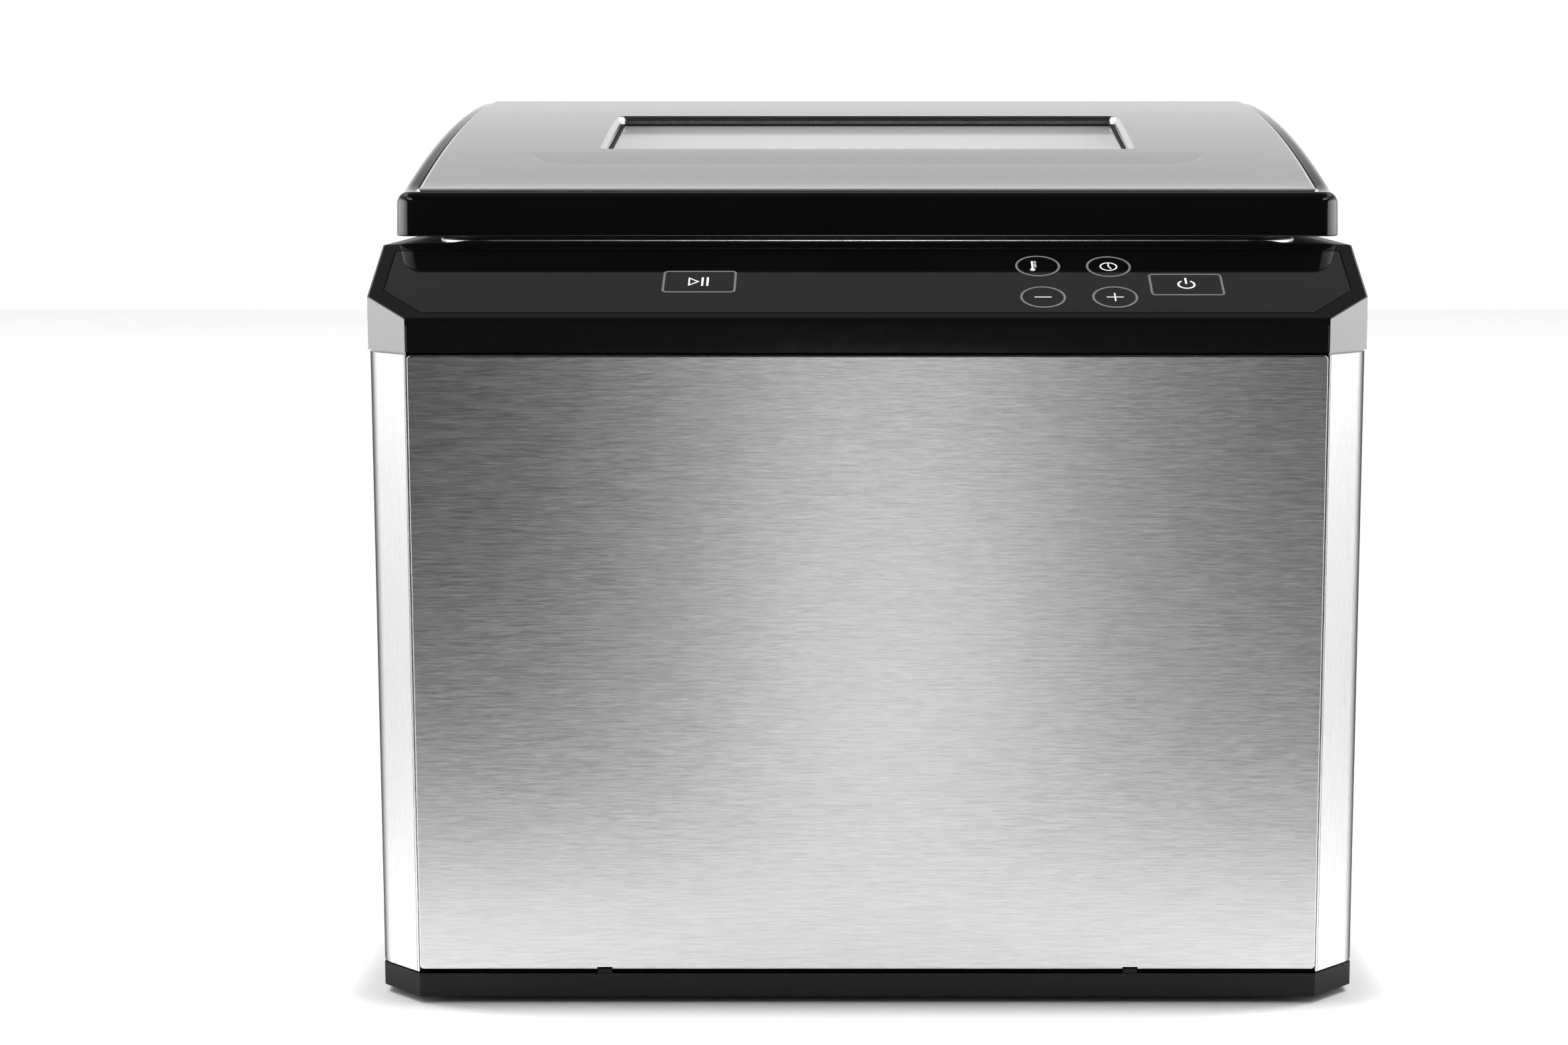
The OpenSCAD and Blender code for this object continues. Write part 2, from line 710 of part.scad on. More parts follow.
module mains_inlet() {
    color([0.05, 0.05, 0.055]) translate([inlet_x, rear_y - rear_recess, inlet_z]) {
        difference() {
            union() {
                translate([0, 0.02, 0]) rotate([-90, 0, 0]) linear_extrude(2.5) rounded(50, 24, 4);
                translate([-14.2, -18, -10.2]) cube([28.4, 18.4, 20.4]);
            }
            translate([0, 5, 0]) rotate([90, 0, 0]) linear_extrude(21) rounded(25, 17, 2);
            for (side = [-1, 1]) translate([side * 20, 5, 0]) rotate([90, 0, 0]) cylinder(r = 1.7, h = 10);
            inlet_blades();
        }
    }
}

module inlet_blades() {
    for (p = [[-7, -2], [0, 2.4], [7, -2]]) translate([p[0] - 1, -24, p[1] - 2.2]) cube([2, 20, 4.4]);
}

module inlet_pins() {
    color([0.75, 0.7, 0.5]) translate([inlet_x, rear_y - rear_recess, inlet_z]) inlet_blades();
}

module inlet_screws() {
    color([0.7, 0.7, 0.72]) for (side = [-1, 1])
        translate([inlet_x + side * 20, rear_y - 0.47, inlet_z]) rotate([-90, 0, 0])
            pan_screw(2.9, 0.4, 1.6, 8);
}

// Mains wires from the inlet, along the tray's floor and up to the power board.
module wiring_loom() {
    r = 2.6;
    low = foot_h + 2.65 + r;
    route = [[inlet_x, rear_y - 27.2, inlet_z], [inlet_x, rear_y - 38, inlet_z],
        [inlet_x + 10, rear_y - 38, low], [inlet_x + 10, front_y + 50, low],
        [inlet_x + 10, front_y + 50, 34], [inlet_x + 10, board_y + 1.7, 34]];
    color([0.16, 0.16, 0.17]) {
        for (i = [0 : len(route) - 2]) rod(r, route[i], route[i + 1]);
        for (i = [1 : len(route) - 2]) translate(route[i]) sphere(r = r + 0.03, $fn = 24);
    }
}

// Flat cable from the control board down to the power board.
module ribbon_cable() {
    y0 = front_y + 25;
    z0 = lip_z + 25 * tan(panel_slope) + board_off / cos(panel_slope) - 0.2;
    color([0.7, 0.7, 0.68]) translate([90, 0, 0]) across(18)
        polygon([[y0, z0], [y0, 150], [board_y - 0.05, 136], [board_y - 0.05, 128], [board_y - 0.9, 128],
            [board_y - 0.9, 135.6], [y0 - 0.8, 150], [y0 - 0.8, z0 - 0.4]]);
}

// ---------------------------------------------------------------- rack

rack_z = tank_z + 0.1;
rack_low = tank_z + 11;
rack_top = tank_z + 142;
rod_r = 2.5;

function rack_corners(z) = [for (c = [[-1, -1], [1, -1], [1, 1], [-1, 1]])
    [c[0] * rack_w / 2, mid_y + c[1] * rack_l / 2, z]];

module rod_loop(r, points) {
    n = len(points);
    for (i = [0 : n - 1]) rod(r, points[i], points[(i + 1) % n]);
    for (p = points) translate(p) sphere(r = r + 0.03, $fn = 24);
}

module rack_frame() {
    low = rack_corners(rack_low);
    top = rack_corners(rack_top);
    handle_l = 32;
    handle_z = rack_z + rack_h;
    color([0.8, 0.8, 0.82]) {
        rod_loop(rod_r, low);
        rod_loop(rod_r, top);
        for (i = [0 : 3]) rod(rod_r, [low[i][0], low[i][1], rack_z], top[i]);
        for (side = [-1, 1]) {
            x = side * rack_w / 2;
            rod(rod_r, [x, mid_y - handle_l, rack_top], [x, mid_y - handle_l, handle_z - rod_r]);
            rod(rod_r, [x, mid_y + handle_l, rack_top], [x, mid_y + handle_l, handle_z - rod_r]);
            rod(rod_r, [x, mid_y - handle_l, handle_z - rod_r], [x, mid_y + handle_l, handle_z - rod_r]);
            for (y = [-handle_l, handle_l]) translate([x, mid_y + y, handle_z - rod_r])
                sphere(r = rod_r + 0.03, $fn = 24);
        }
    }
}

module rack_dividers() {
    r = 1.6;
    bay = rack_w / (divider_count + 1);
    y0 = mid_y - rack_l / 2 + rod_r + r + 0.05;
    y1 = mid_y + rack_l / 2 - rod_r - r - 0.05;
    z0 = rack_low;
    z1 = rack_top;
    color([0.8, 0.8, 0.82]) for (i = [1 : divider_count]) {
        x = -rack_w / 2 + i * bay;
        rod_loop(r, [[x, y0, z0], [x, y1, z0], [x, y1, z1], [x, y0, z1]]);
        for (k = [1 : 4]) {
            y = y0 + k * (y1 - y0) / 5;
            rod(r, [x, y, z0], [x, y, z1]);
        }
    }
}

// ---------------------------------------------------------------- lid

// Plan of the lid: small radii in front, larger ones behind.
module lid_plan(inset) {
    w = lid_w / 2 - inset;
    l = lid_l - 2 * inset;
    rf = max(8 - inset, 1.5);
    rr = max(10 - inset, 3);
    y0 = lid_y + inset;
    translate([-w + rf, y0]) square([2 * (w - rf), l - rr]);
    translate([-w, y0 + rf]) square([2 * w, l - rf - rr]);
    translate([-w + rr, y0 + rf]) square([2 * (w - rr), l - rf]);
    for (side = [-1, 1]) {
        translate([side * (w - rf), y0 + rf]) circle(r = rf);
        translate([side * (w - rr), y0 + l - rr]) circle(r = rr);
    }
}

// Space under the lid's top surface, raised by a distance, above a floor height.
module under_lid_top(raise, floor_z) {
    across(lid_w + 20) {
        intersection() {
            translate([arc_y, arc_z]) circle(r = lid_arc_r + raise, $fn = 720);
            translate([lid_y - 5, floor_z]) square([lid_l + 10, 90]);
        }
        translate([lid_y - 5, floor_z]) square([5 + flat_l, flat_z + raise - floor_z]);
    }
}

// Lid plan filled between a floor height and the top surface raised by a distance.
module lid_fill(inset, floor_z, raise) {
    intersection() {
        translate([0, 0, floor_z - 2]) linear_extrude(90) lid_plan(inset);
        under_lid_top(raise, floor_z);
    }
}

// Frame of reference in the middle of the window, on the lid's top surface.
module at_window(off) {
    translate([0, window_y, window_z]) rotate([window_tilt, 0, 0]) translate([0, 0, off]) children();
}

rim_w = 5;

module lid_frame() {
    color([0.03, 0.03, 0.032]) difference() {
        lid_fill(0, lid_z, 0);
        lid_fill(2.6, lid_z - 5, -4.6);
        translate([0, 0, lid_z - cut]) linear_extrude(90) lid_plan(16);
        difference() {
            translate([0, 0, lid_z]) linear_extrude(90) lid_plan(rim_w);
            under_lid_top(-1.05, lid_z - cut);
        }
    }
}

module lid_plate() {
    color([0.7, 0.7, 0.71]) {
        difference() {
            lid_fill(rim_w + 0.35, lid_z, 1.2);
            under_lid_top(-1, lid_z - cut);
            at_window(-20) linear_extrude(40) rounded(window_w + 6, window_l + 6, 4);
        }
        difference() {
            at_window(-glass_drop) linear_extrude(glass_drop + 0.6) rounded(window_w + 7.6, window_l + 7.6, 4.8);
            at_window(-glass_drop - cut) linear_extrude(10) rounded(window_w + 6, window_l + 6, 4);
        }
    }
}

module window_seal() {
    color([0.04, 0.04, 0.04]) at_window(-glass_drop + 0.03) difference() {
        linear_extrude(1.6) rounded(window_w + 5.8, window_l + 5.8, 4);
        translate([0, 0, -cut]) linear_extrude(6) rounded(window_w, window_l, 2.5);
    }
}

module window_glass() {
    color([0.75, 0.8, 0.8, 0.4]) at_window(-glass_drop - glass_t)
        linear_extrude(glass_t - 0.02) rounded(window_w + 12, window_l + 12, 5);
}

liner_z = lid_z + 2;

module lid_liner() {
    well_w = window_w + 4;
    well_l = window_l + 4;
    color([0.6, 0.6, 0.61]) difference() {
        union() {
            translate([0, 0, liner_z]) linear_extrude(1.2) lid_plan(2.9);
            intersection() {
                translate([0, window_y, liner_z]) linear_extrude(60) rounded(well_w + 2.4, well_l + 2.4, 5);
                at_window(-glass_drop - glass_t - 60.05) linear_extrude(60) square(400, center = true);
            }
        }
        translate([0, window_y, liner_z - cut]) linear_extrude(60) rounded(well_w, well_l, 4);
        for (p = lid_screw_places) translate([p[0], p[1], liner_z - cut]) cylinder(r = 1.6, h = 4);
    }
}

module lid_seal() {
    color([0.82, 0.82, 0.8]) difference() {
        tank_ring(tank_w + 17, tank_l + 17, tank_r + 6, 5.6, flange_top + 0.1, liner_z);
        tank_ring(tank_w + 13, tank_l + 13, tank_r + 4, 1.6, flange_top - cut, flange_top + 1.3);
    }
}

lid_screw_places = [for (x = [-1, 1], y = [-1, 0, 1]) [x * 163.2, mid_y + y * 96]];

module lid_screws() {
    color([0.65, 0.65, 0.67]) for (p = lid_screw_places)
        translate([p[0], p[1], liner_z - 0.02]) mirror([0, 0, 1]) pan_screw(3, 1.2, 1.5, 7);
}

// ---------------------------------------------------------------- drawing

base_tray();
rubber_feet();
foot_screws();
base_screws();
front_panel();
left_side_panel();
right_side_panel();
rear_panel();
rear_screws();
left_grip_cup();
right_grip_cup();
top_frame();
control_bezel();
touch_overlay();
key_print();
rear_deck();
control_board();
touch_pads();
display_module();
water_tank();
tank_gasket();
tank_insulation();
heater_plate();
heater_element();
thermal_cutout();
temperature_probe();
probe_nut();
intake_grille();
suction_fitting();
suction_hose();
pump_body();
pump_motor();
pump_bushing();
pump_shaft();
pump_magnet();
pump_impeller();
discharge_hose();
hose_clamps();
outlet_nozzle();
power_board();
power_components();
mains_inlet();
inlet_pins();
inlet_screws();
wiring_loom();
ribbon_cable();
rack_frame();
rack_dividers();
lid_frame();
lid_plate();
window_glass();
window_seal();
lid_liner();
lid_seal();
lid_screws();
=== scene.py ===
"""Looks of the sous vide water bath: detailed shells, lid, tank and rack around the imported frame."""
import json
import math

import bmesh
import bpy
from mathutils import Matrix, Vector


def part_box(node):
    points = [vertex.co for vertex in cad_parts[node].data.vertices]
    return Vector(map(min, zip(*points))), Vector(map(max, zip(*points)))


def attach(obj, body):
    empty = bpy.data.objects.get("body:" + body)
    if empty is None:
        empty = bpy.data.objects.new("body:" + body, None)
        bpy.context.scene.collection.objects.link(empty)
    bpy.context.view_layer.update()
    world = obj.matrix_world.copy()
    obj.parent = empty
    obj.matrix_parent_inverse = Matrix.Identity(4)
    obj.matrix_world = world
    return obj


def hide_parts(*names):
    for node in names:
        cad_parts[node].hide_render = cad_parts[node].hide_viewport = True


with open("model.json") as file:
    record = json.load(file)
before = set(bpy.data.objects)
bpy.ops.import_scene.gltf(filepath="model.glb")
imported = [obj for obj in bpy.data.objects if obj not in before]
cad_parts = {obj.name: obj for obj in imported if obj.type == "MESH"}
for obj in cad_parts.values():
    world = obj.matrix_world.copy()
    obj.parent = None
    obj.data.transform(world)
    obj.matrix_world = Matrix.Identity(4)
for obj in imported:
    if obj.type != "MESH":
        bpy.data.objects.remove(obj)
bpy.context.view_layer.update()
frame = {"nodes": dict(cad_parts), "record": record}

MM = 0.001
RECORD = frame["record"]
NODES = frame["nodes"]


# ---- places, from the frame

def low(node):
    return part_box(node)[0]


def high(node):
    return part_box(node)[1]


HALF_W = high("top_frame").x
FRONT = low("front_panel").y
REAR = high("top_frame").y
FRONT_HALF = high("front_panel").x            # half width of the flat front
CHAMFER = HALF_W - FRONT_HALF - 0.3 * MM
SHELL_Z, SHELL_TOP = low("left_side_panel").z, high("left_side_panel").z
HEAD_Z = low("control_bezel").z
DECK_Z = high("rear_deck").z
PANEL_Y = low("lid_frame").y                  # rear edge of the sloping panel, front of the lid
LIP_H = 11.6 * MM
LIP_Z = HEAD_Z + LIP_H
SLOPE = math.atan2(DECK_Z - LIP_Z, PANEL_Y - FRONT)
SKIN = 2.4 * MM
LID_LO, LID_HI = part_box("lid_frame")
LID_HALF = LID_HI.x
ARC_R = 1.25
ARC_Y = FRONT + 0.3595
ARC_Z = LID_LO.z - 1.199
FLAT_Z = LID_LO.z + 15.9 * MM
MID_Y = (LID_LO.y + LID_HI.y) / 2
WINDOW_Y = FRONT + 0.1705
WINDOW_W, WINDOW_L = 202 * MM, 79 * MM
WINDOW_TILT = math.asin((ARC_Y - WINDOW_Y) / ARC_R)
WINDOW_Z = ARC_Z + ARC_R * math.cos(WINDOW_TILT)
GLASS_DROP = 3.4 * MM                         # top of the glass under the window plane
RIM = 5 * MM                                  # black rim around the lid's plate
FLANGE_TOP = high("water_tank").z


# ---- mesh tools

def placed(name, data):
    """New object in the scene."""
    piece = bpy.data.objects.new(name, data)
    bpy.context.scene.collection.objects.link(piece)
    return piece


def new_object(name, verts, faces, smooth=True, sharp=40):
    mesh = bpy.data.meshes.new(name)
    mesh.from_pydata([tuple(v) for v in verts], [], faces)
    mesh.validate()
    bm = bmesh.new()
    bm.from_mesh(mesh)
    bmesh.ops.remove_doubles(bm, verts=bm.verts, dist=1e-7)
    bmesh.ops.recalc_face_normals(bm, faces=bm.faces)
    bm.to_mesh(mesh)
    bm.free()
    piece = placed(name, mesh)
    if smooth:
        shade(piece, sharp)
    return piece


def shade(piece, sharp=40):
    for p in piece.data.polygons:
        p.use_smooth = True
    piece.data.set_sharp_from_angle(angle=math.radians(sharp))


def bake_modifiers(piece):
    graph = bpy.context.evaluated_depsgraph_get()
    mesh = bpy.data.meshes.new_from_object(piece.evaluated_get(graph))
    piece.modifiers.clear()
    piece.data = mesh


def carve(piece, *cutters):
    """Cuts each cutter out of the piece and removes the cutter."""
    for c in cutters:
        m = piece.modifiers.new("cut", "BOOLEAN")
        m.operation = "DIFFERENCE"
        m.solver = "MANIFOLD"
        m.object = c
    bpy.context.view_layer.update()
    bake_modifiers(piece)
    for c in cutters:
        bpy.data.objects.remove(c)
    clean(piece)


def clean(piece):
    """Merges points left by cuts and joins the faces that lie in one plane."""
    bm = bmesh.new()
    bm.from_mesh(piece.data)
    bmesh.ops.remove_doubles(bm, verts=bm.verts, dist=3e-6)
    bmesh.ops.dissolve_degenerate(bm, edges=bm.edges, dist=2e-6)
    bmesh.ops.dissolve_limit(bm, angle_limit=math.radians(0.2), verts=bm.verts, edges=bm.edges)
    bm.to_mesh(piece.data)
    bm.free()


def bevel(piece, width, segments, angle):
    m = piece.modifiers.new("edge", "BEVEL")
    m.width = width
    m.segments = segments
    m.limit_method = "ANGLE"
    m.angle_limit = math.radians(angle)
    m.harden_normals = False
    m.use_clamp_overlap = True


def edge_round(piece, width, segments, angle):
    """Rounds the edges sharper than an angle, and evens out the shading of flat faces."""
    bevel(piece, width, segments, angle)
    bpy.context.view_layer.update()
    bake_modifiers(piece)
    shade(piece, 50)
    even_normals(piece)


def even_normals(piece):
    m = piece.modifiers.new("normals", "WEIGHTED_NORMAL")
    m.keep_sharp = True


def join(name, pieces):
    """One mesh object made of several."""
    bm = bmesh.new()
    for p in pieces:
        bm.from_mesh(p.data)
    mesh = bpy.data.meshes.new(name)
    bm.to_mesh(mesh)
    bm.free()
    for p in pieces:
        bpy.data.objects.remove(p)
    return placed(name, mesh)


def quarter(r, steps):
    """Quarter turn of a rounded edge, from its side to its top: (run inward, drop from the top)."""
    turns = [math.radians(90 * k / steps) for k in range(steps + 1)]
    return [(r - r * math.cos(a), r - r * math.sin(a)) for a in turns]


def bend(before, p, after, r):
    """Centre of the arc that rounds the corner p, and the arc's first and last radius."""
    a, b = (before - p).normalized(), (after - p).normalized()
    half = a.angle(b) / 2
    reach = r / math.tan(half)
    centre = p + (a + b).normalized() * (r / math.sin(half))
    return centre, p + a * reach - centre, p + b * reach - centre


def flat_bend(before, p, after, r, steps):
    """Points of the arc that rounds a corner in a plane."""
    centre, start, stop = bend(before, p, after, r)
    turn = start.angle_signed(stop)
    return [centre + Matrix.Rotation(-turn * k / steps, 2) @ start for k in range(steps + 1)]


class Outline:
    """Closed outline of straight edges and rounded corners, given anticlockwise as (x, y, radius).
    Every loop it gives has the same number of points, so loops at any inset can be joined."""

    def __init__(self, corners, segments=8, step=None):
        self.corners = corners
        self.segments = segments
        n = len(corners)
        self.splits = []
        for i in range(n):
            (ax, ay, _), (bx, by, _) = corners[i], corners[(i + 1) % n]
            length = math.hypot(bx - ax, by - ay)
            self.splits.append(max(1, math.ceil(length / step)) if step else 1)

    def _shifted(self, inset):
        n = len(self.corners)
        lines = []
        for i in range(n):
            (ax, ay, _), (bx, by, _) = self.corners[i], self.corners[(i + 1) % n]
            d = Vector((bx - ax, by - ay)).normalized()
            inward = Vector((-d.y, d.x))
            lines.append((Vector((ax, ay)) + inward * inset, d))
        found = []
        for i in range(n):
            (p, d), (q, e) = lines[i - 1], lines[i]
            t = (q - p).cross(e) / d.cross(e)
            found.append((p + d * t, max(self.corners[i][2] - inset, 0.06 * MM)))
        return found

    def loop(self, inset=0.0):
        corners = self._shifted(inset)
        n = len(corners)
        rounds = []
        for i in range(n):
            p, r = corners[i]
            rounds.append(flat_bend(corners[i - 1][0], p, corners[(i + 1) % n][0], r, self.segments))
        points = []
        for i in range(n):
            points += rounds[i]
            a, b = rounds[i][-1], rounds[(i + 1) % n][0]
            points += [a.lerp(b, k / self.splits[i]) for k in range(1, self.splits[i])]
        return points


def box_outline(w, l, r, cx=0.0, cy=0.0, segments=8, step=None, r_rear=None):
    """Rounded rectangle; the rear corners may have another radius."""
    back = r if r_rear is None else r_rear
    return Outline([(cx - w / 2, cy - l / 2, r), (cx + w / 2, cy - l / 2, r),
                    (cx + w / 2, cy + l / 2, back), (cx - w / 2, cy + l / 2, back)], segments, step)


def at_level(loop, z):
    return [Vector((p.x, p.y, z)) for p in loop]


def mixed(a, b, t):
    return [p.lerp(q, t) for p, q in zip(a, b)]


def loft(name, loops, closed=False, caps=True, sharp=40):
    """Skin over loops of equal length. closed joins the last loop to the first."""
    n = len(loops[0])
    verts = [p for loop in loops for p in loop]
    faces = []
    pairs = list(zip(range(len(loops)), range(1, len(loops))))
    if closed:
        pairs.append((len(loops) - 1, 0))
    for a, b in pairs:
        for i in range(n):
            j = (i + 1) % n
            faces.append((a * n + i, a * n + j, b * n + j, b * n + i))
    if caps and not closed:
        faces.append(tuple(range(n)))
        faces.append(tuple((len(loops) - 1) * n + i for i in range(n)))
    return new_object(name, verts, faces, sharp=sharp)


def rounded_path(points, steps=8):
    """Open path of (x, y, radius) corners with its bends rounded; ends take radius 0."""
    out = [Vector(points[0][:2])]
    for k in range(1, len(points) - 1):
        before, p, after = (Vector(q[:2]) for q in points[k - 1:k + 2])
        out += flat_bend(before, p, after, points[k][2], steps)
    return out + [Vector(points[-1][:2])]


def thick_strip(path, thickness):
    """Closed outline of an open path given a thickness on its left."""
    left = []
    for i, p in enumerate(path):
        a = (p - path[i - 1]).normalized() if i else None
        b = (path[i + 1] - p).normalized() if i < len(path) - 1 else None
        d = ((a or b) + (b or a)).normalized()
        side = Vector((-d.y, d.x))
        k = 1 / max(side.dot(Vector((-(b or a).y, (b or a).x))), 0.3)
        left.append(p + side * thickness * k)
    return list(path) + left[::-1]


def prism(name, outline, a, b, across=False):
    """Outline in X-Y extruded from z=a to z=b, or outline in Y-Z extruded from x=a to x=b."""
    n = len(outline)
    place = (lambda p, t: (t, p[0], p[1])) if across else (lambda p, t: (p[0], p[1], t))
    verts = [place(p, a) for p in outline] + [place(p, b) for p in outline]
    faces = [tuple(range(n)), tuple(range(n, 2 * n))]
    faces += [(i, (i + 1) % n, n + (i + 1) % n, n + i) for i in range(n)]
    return new_object(name, verts, faces, sharp=30)


def block(name, corner_a, corner_b):
    xs, ys, zs = zip(corner_a, corner_b)
    outline = [(xs[0], ys[0]), (xs[1], ys[0]), (xs[1], ys[1]), (xs[0], ys[1])]
    return prism(name, outline, zs[0], zs[1])


def lathe(name, profile, sides):
    """Profile of (radius, height) turned about Z, with caps at both ends."""
    angles = [2 * math.pi * k / sides for k in range(sides)]
    loops = [[Vector((r * math.cos(a), r * math.sin(a), h)) for a in angles] for r, h in profile]
    return loft(name, loops, sharp=35)


def tube(name, points, radius, bend_r=0.0, closed=False, sides=14):
    """Round wire along a path whose corners are bent to a radius."""
    steps = 6
    path = [Vector(p) for p in points]
    n = len(path)
    route = []
    for i in range(n):
        if not closed and i in (0, n - 1):
            route.append(path[i])
            continue
        centre, start, stop = bend(path[i - 1], path[i], path[(i + 1) % n], bend_r)
        turn = start.angle(stop)
        normal = start.cross(stop).normalized()
        route += [centre + Matrix.Rotation(turn * k / steps, 3, normal) @ start for k in range(steps + 1)]
    count = len(route)
    loops = []
    side = None
    for i, p in enumerate(route):
        before = route[i - 1] if i or closed else p
        after = route[(i + 1) % count] if i < count - 1 or closed else p
        d = ((p - before).normalized() + (after - p).normalized()).normalized()
        if side is None:
            side = d.orthogonal().normalized()
        side = (side - d * side.dot(d)).normalized()
        other = d.cross(side)
        ring = [p + (side * math.cos(t) + other * math.sin(t)) * radius
                for t in (2 * math.pi * k / sides for k in range(sides))]
        if not closed and i in (0, count - 1):
            inward = -d if i else d
            tip = [p + (q - p) * 0.55 for q in ring]
            body = [q + inward * radius * 0.5 for q in ring]
            loops += [tip, body] if i == 0 else [body, tip]
        else:
            loops.append(ring)
    if closed:
        # the frames' twist over a closed loop is taken up by matching the nearest point
        shift = min(range(sides), key=lambda s: (loops[-1][0] - loops[0][s]).length)
        loops.append([loops[0][(k + shift) % sides] for k in range(sides)])
        return loft(name, loops, caps=False, sharp=60)
    return loft(name, loops, sharp=60)


# ---- materials

FINISH = {}


def shader(name):
    """New material, kept in FINISH under its slot's name."""
    mat = bpy.data.materials.new(name)
    mat.use_nodes = True
    FINISH[name] = mat
    return mat.node_tree, mat.node_tree.nodes["Principled BSDF"]


def put(node, **values):
    """Sets a node's sockets; an underscore in a name stands for a space."""
    for name, value in values.items():
        node.inputs[name.replace("_", " ")].default_value = value


def place_noise(tree, stretch, detail=3.0, rough=0.5):
    """Noise in the piece's own coordinates, its cells stretch metres long along X, Y and Z."""
    coords = tree.nodes.new("ShaderNodeTexCoord")
    mapping = tree.nodes.new("ShaderNodeMapping")
    put(mapping, Scale=[1 / s for s in stretch])
    texture = tree.nodes.new("ShaderNodeTexNoise")
    put(texture, Scale=1.0, Detail=detail, Roughness=rough)
    tree.links.new(coords.outputs["Object"], mapping.inputs["Vector"])
    tree.links.new(mapping.outputs["Vector"], texture.inputs["Vector"])
    return texture.outputs["Fac"]


def spread(tree, value, a, b, lo_in=0.3, hi_in=0.7):
    """Value mapped from lo_in..hi_in to a..b."""
    node = tree.nodes.new("ShaderNodeMapRange")
    put(node, From_Min=lo_in, From_Max=hi_in, To_Min=a, To_Max=b)
    tree.links.new(value, node.inputs["Value"])
    return node.outputs["Result"]


def tinted(tree, bsdf, value, dark, light, lo_in=0.3, hi_in=0.7):
    """Base colour that runs from dark to light along a value."""
    node = tree.nodes.new("ShaderNodeValToRGB")
    first, last = node.color_ramp.elements
    first.position, last.position = lo_in, hi_in
    first.color, last.color = (*dark, 1), (*light, 1)
    tree.links.new(value, node.inputs["Fac"])
    tree.links.new(node.outputs["Color"], bsdf.inputs["Base Color"])


def clouded(tree, bsdf, value, colour, variation):
    """Base colour a little darker and lighter than the one given."""
    dark = tuple(c * (1 - variation) for c in colour)
    light = tuple(min(c * (1 + variation), 1.0) for c in colour)
    tinted(tree, bsdf, value, dark, light)


def roughened(tree, bsdf, value, a, b):
    tree.links.new(spread(tree, value, a, b), bsdf.inputs["Roughness"])


def blend_values(tree, a, b, share):
    node = tree.nodes.new("ShaderNodeMix")
    node.data_type = "FLOAT"
    put(node, Factor=share)
    tree.links.new(a, node.inputs["A"])
    tree.links.new(b, node.inputs["B"])
    return node.outputs["Result"]


def bumped(tree, bsdf, value, depth, strength=1.0):
    node = tree.nodes.new("ShaderNodeBump")
    put(node, Strength=strength, Distance=depth)
    tree.links.new(value, node.inputs["Height"])
    tree.links.new(node.outputs["Normal"], bsdf.inputs["Normal"])


def tone(grey):
    return (grey, grey, grey)


def ramp(tree, value, stops):
    """Greys along a value; stops are (place, grey)."""
    node = tree.nodes.new("ShaderNodeValToRGB")
    node.color_ramp.interpolation = "EASE"
    points = node.color_ramp.elements
    while len(points) < len(stops):
        points.new(0.5)
    for point, (place, grey) in zip(points, stops):
        point.position = place
        point.color = (grey, grey, grey, 1)
    tree.links.new(value, node.inputs["Fac"])
    return node.outputs["Color"]


def paint_edge_shade(tree, bsdf, grey):
    """Painted shade: turns the base colour darker where the surface runs away from the eye, standing in for
    the dim reflection along the sheet's bends.
    """
    view = tree.nodes.new("ShaderNodeLayerWeight")
    put(view, Blend=0.5)
    share = spread(tree, view.outputs["Facing"], 0.0, 1.0, 0.3, 0.85)
    base = bsdf.inputs["Base Color"].links[0].from_socket
    mix = tree.nodes.new("ShaderNodeMix")
    mix.data_type = "RGBA"
    put(mix, B=(*tone(grey), 1))
    tree.links.new(share, mix.inputs["Factor"])
    tree.links.new(base, mix.inputs["A"])
    tree.links.new(mix.outputs["Result"], bsdf.inputs["Base Color"])
    put(bsdf, Specular_Tint=(0.3, 0.3, 0.3, 1))


def tangent_along(tree, bsdf, curved):
    """Direction of the brush lines: level round the body, or across the lid's arched sheet."""
    if curved:
        surface = tree.nodes.new("ShaderNodeNewGeometry")
        cross = tree.nodes.new("ShaderNodeVectorMath")
        cross.operation = "CROSS_PRODUCT"
        cross.inputs[1].default_value = (0, 1, 0)
        tree.links.new(surface.outputs["Normal"], cross.inputs[0])
        tree.links.new(cross.outputs["Vector"], bsdf.inputs["Tangent"])
        return
    tangent = tree.nodes.new("ShaderNodeTangent")
    tangent.direction_type = "RADIAL"
    tangent.axis = "Z"
    tree.links.new(tangent.outputs["Tangent"], bsdf.inputs["Tangent"])


def brushed(name, grey, rough, upright=False, contrast=0.06, anisotropy=0.75, bump=0.4,
            edge_shade_grey=None, curved=False):
    """Stainless steel with fine brush lines, level or upright. curved is for the lid's arched sheet; an edge
    grey, when given, is painted shade toward grazing edges.
    """
    tree, bsdf = shader(name)
    long_cell, fine_cell = 5.5 * MM, 0.27 * MM
    order = (fine_cell, fine_cell, long_cell) if upright else (long_cell, fine_cell, fine_cell)
    lines = place_noise(tree, order, rough=0.6)
    broad = place_noise(tree, [c * 3.1 for c in order], detail=2.0)
    both = blend_values(tree, lines, broad, 0.3)
    tinted(tree, bsdf, both, tone(grey * (1 - contrast)), tone(grey * (1 + contrast)), 0.36, 0.64)
    roughened(tree, bsdf, both, rough * 0.86, rough * 1.16)
    put(bsdf, Metallic=1.0, Anisotropic=anisotropy, Anisotropic_Rotation=0.25)
    # painted shade: the colour darkens toward edges seen at a grazing angle
    if edge_shade_grey is not None:
        paint_edge_shade(tree, bsdf, edge_shade_grey)
    tangent_along(tree, bsdf, curved)
    bumped(tree, bsdf, lines, 0.02 * MM, bump)


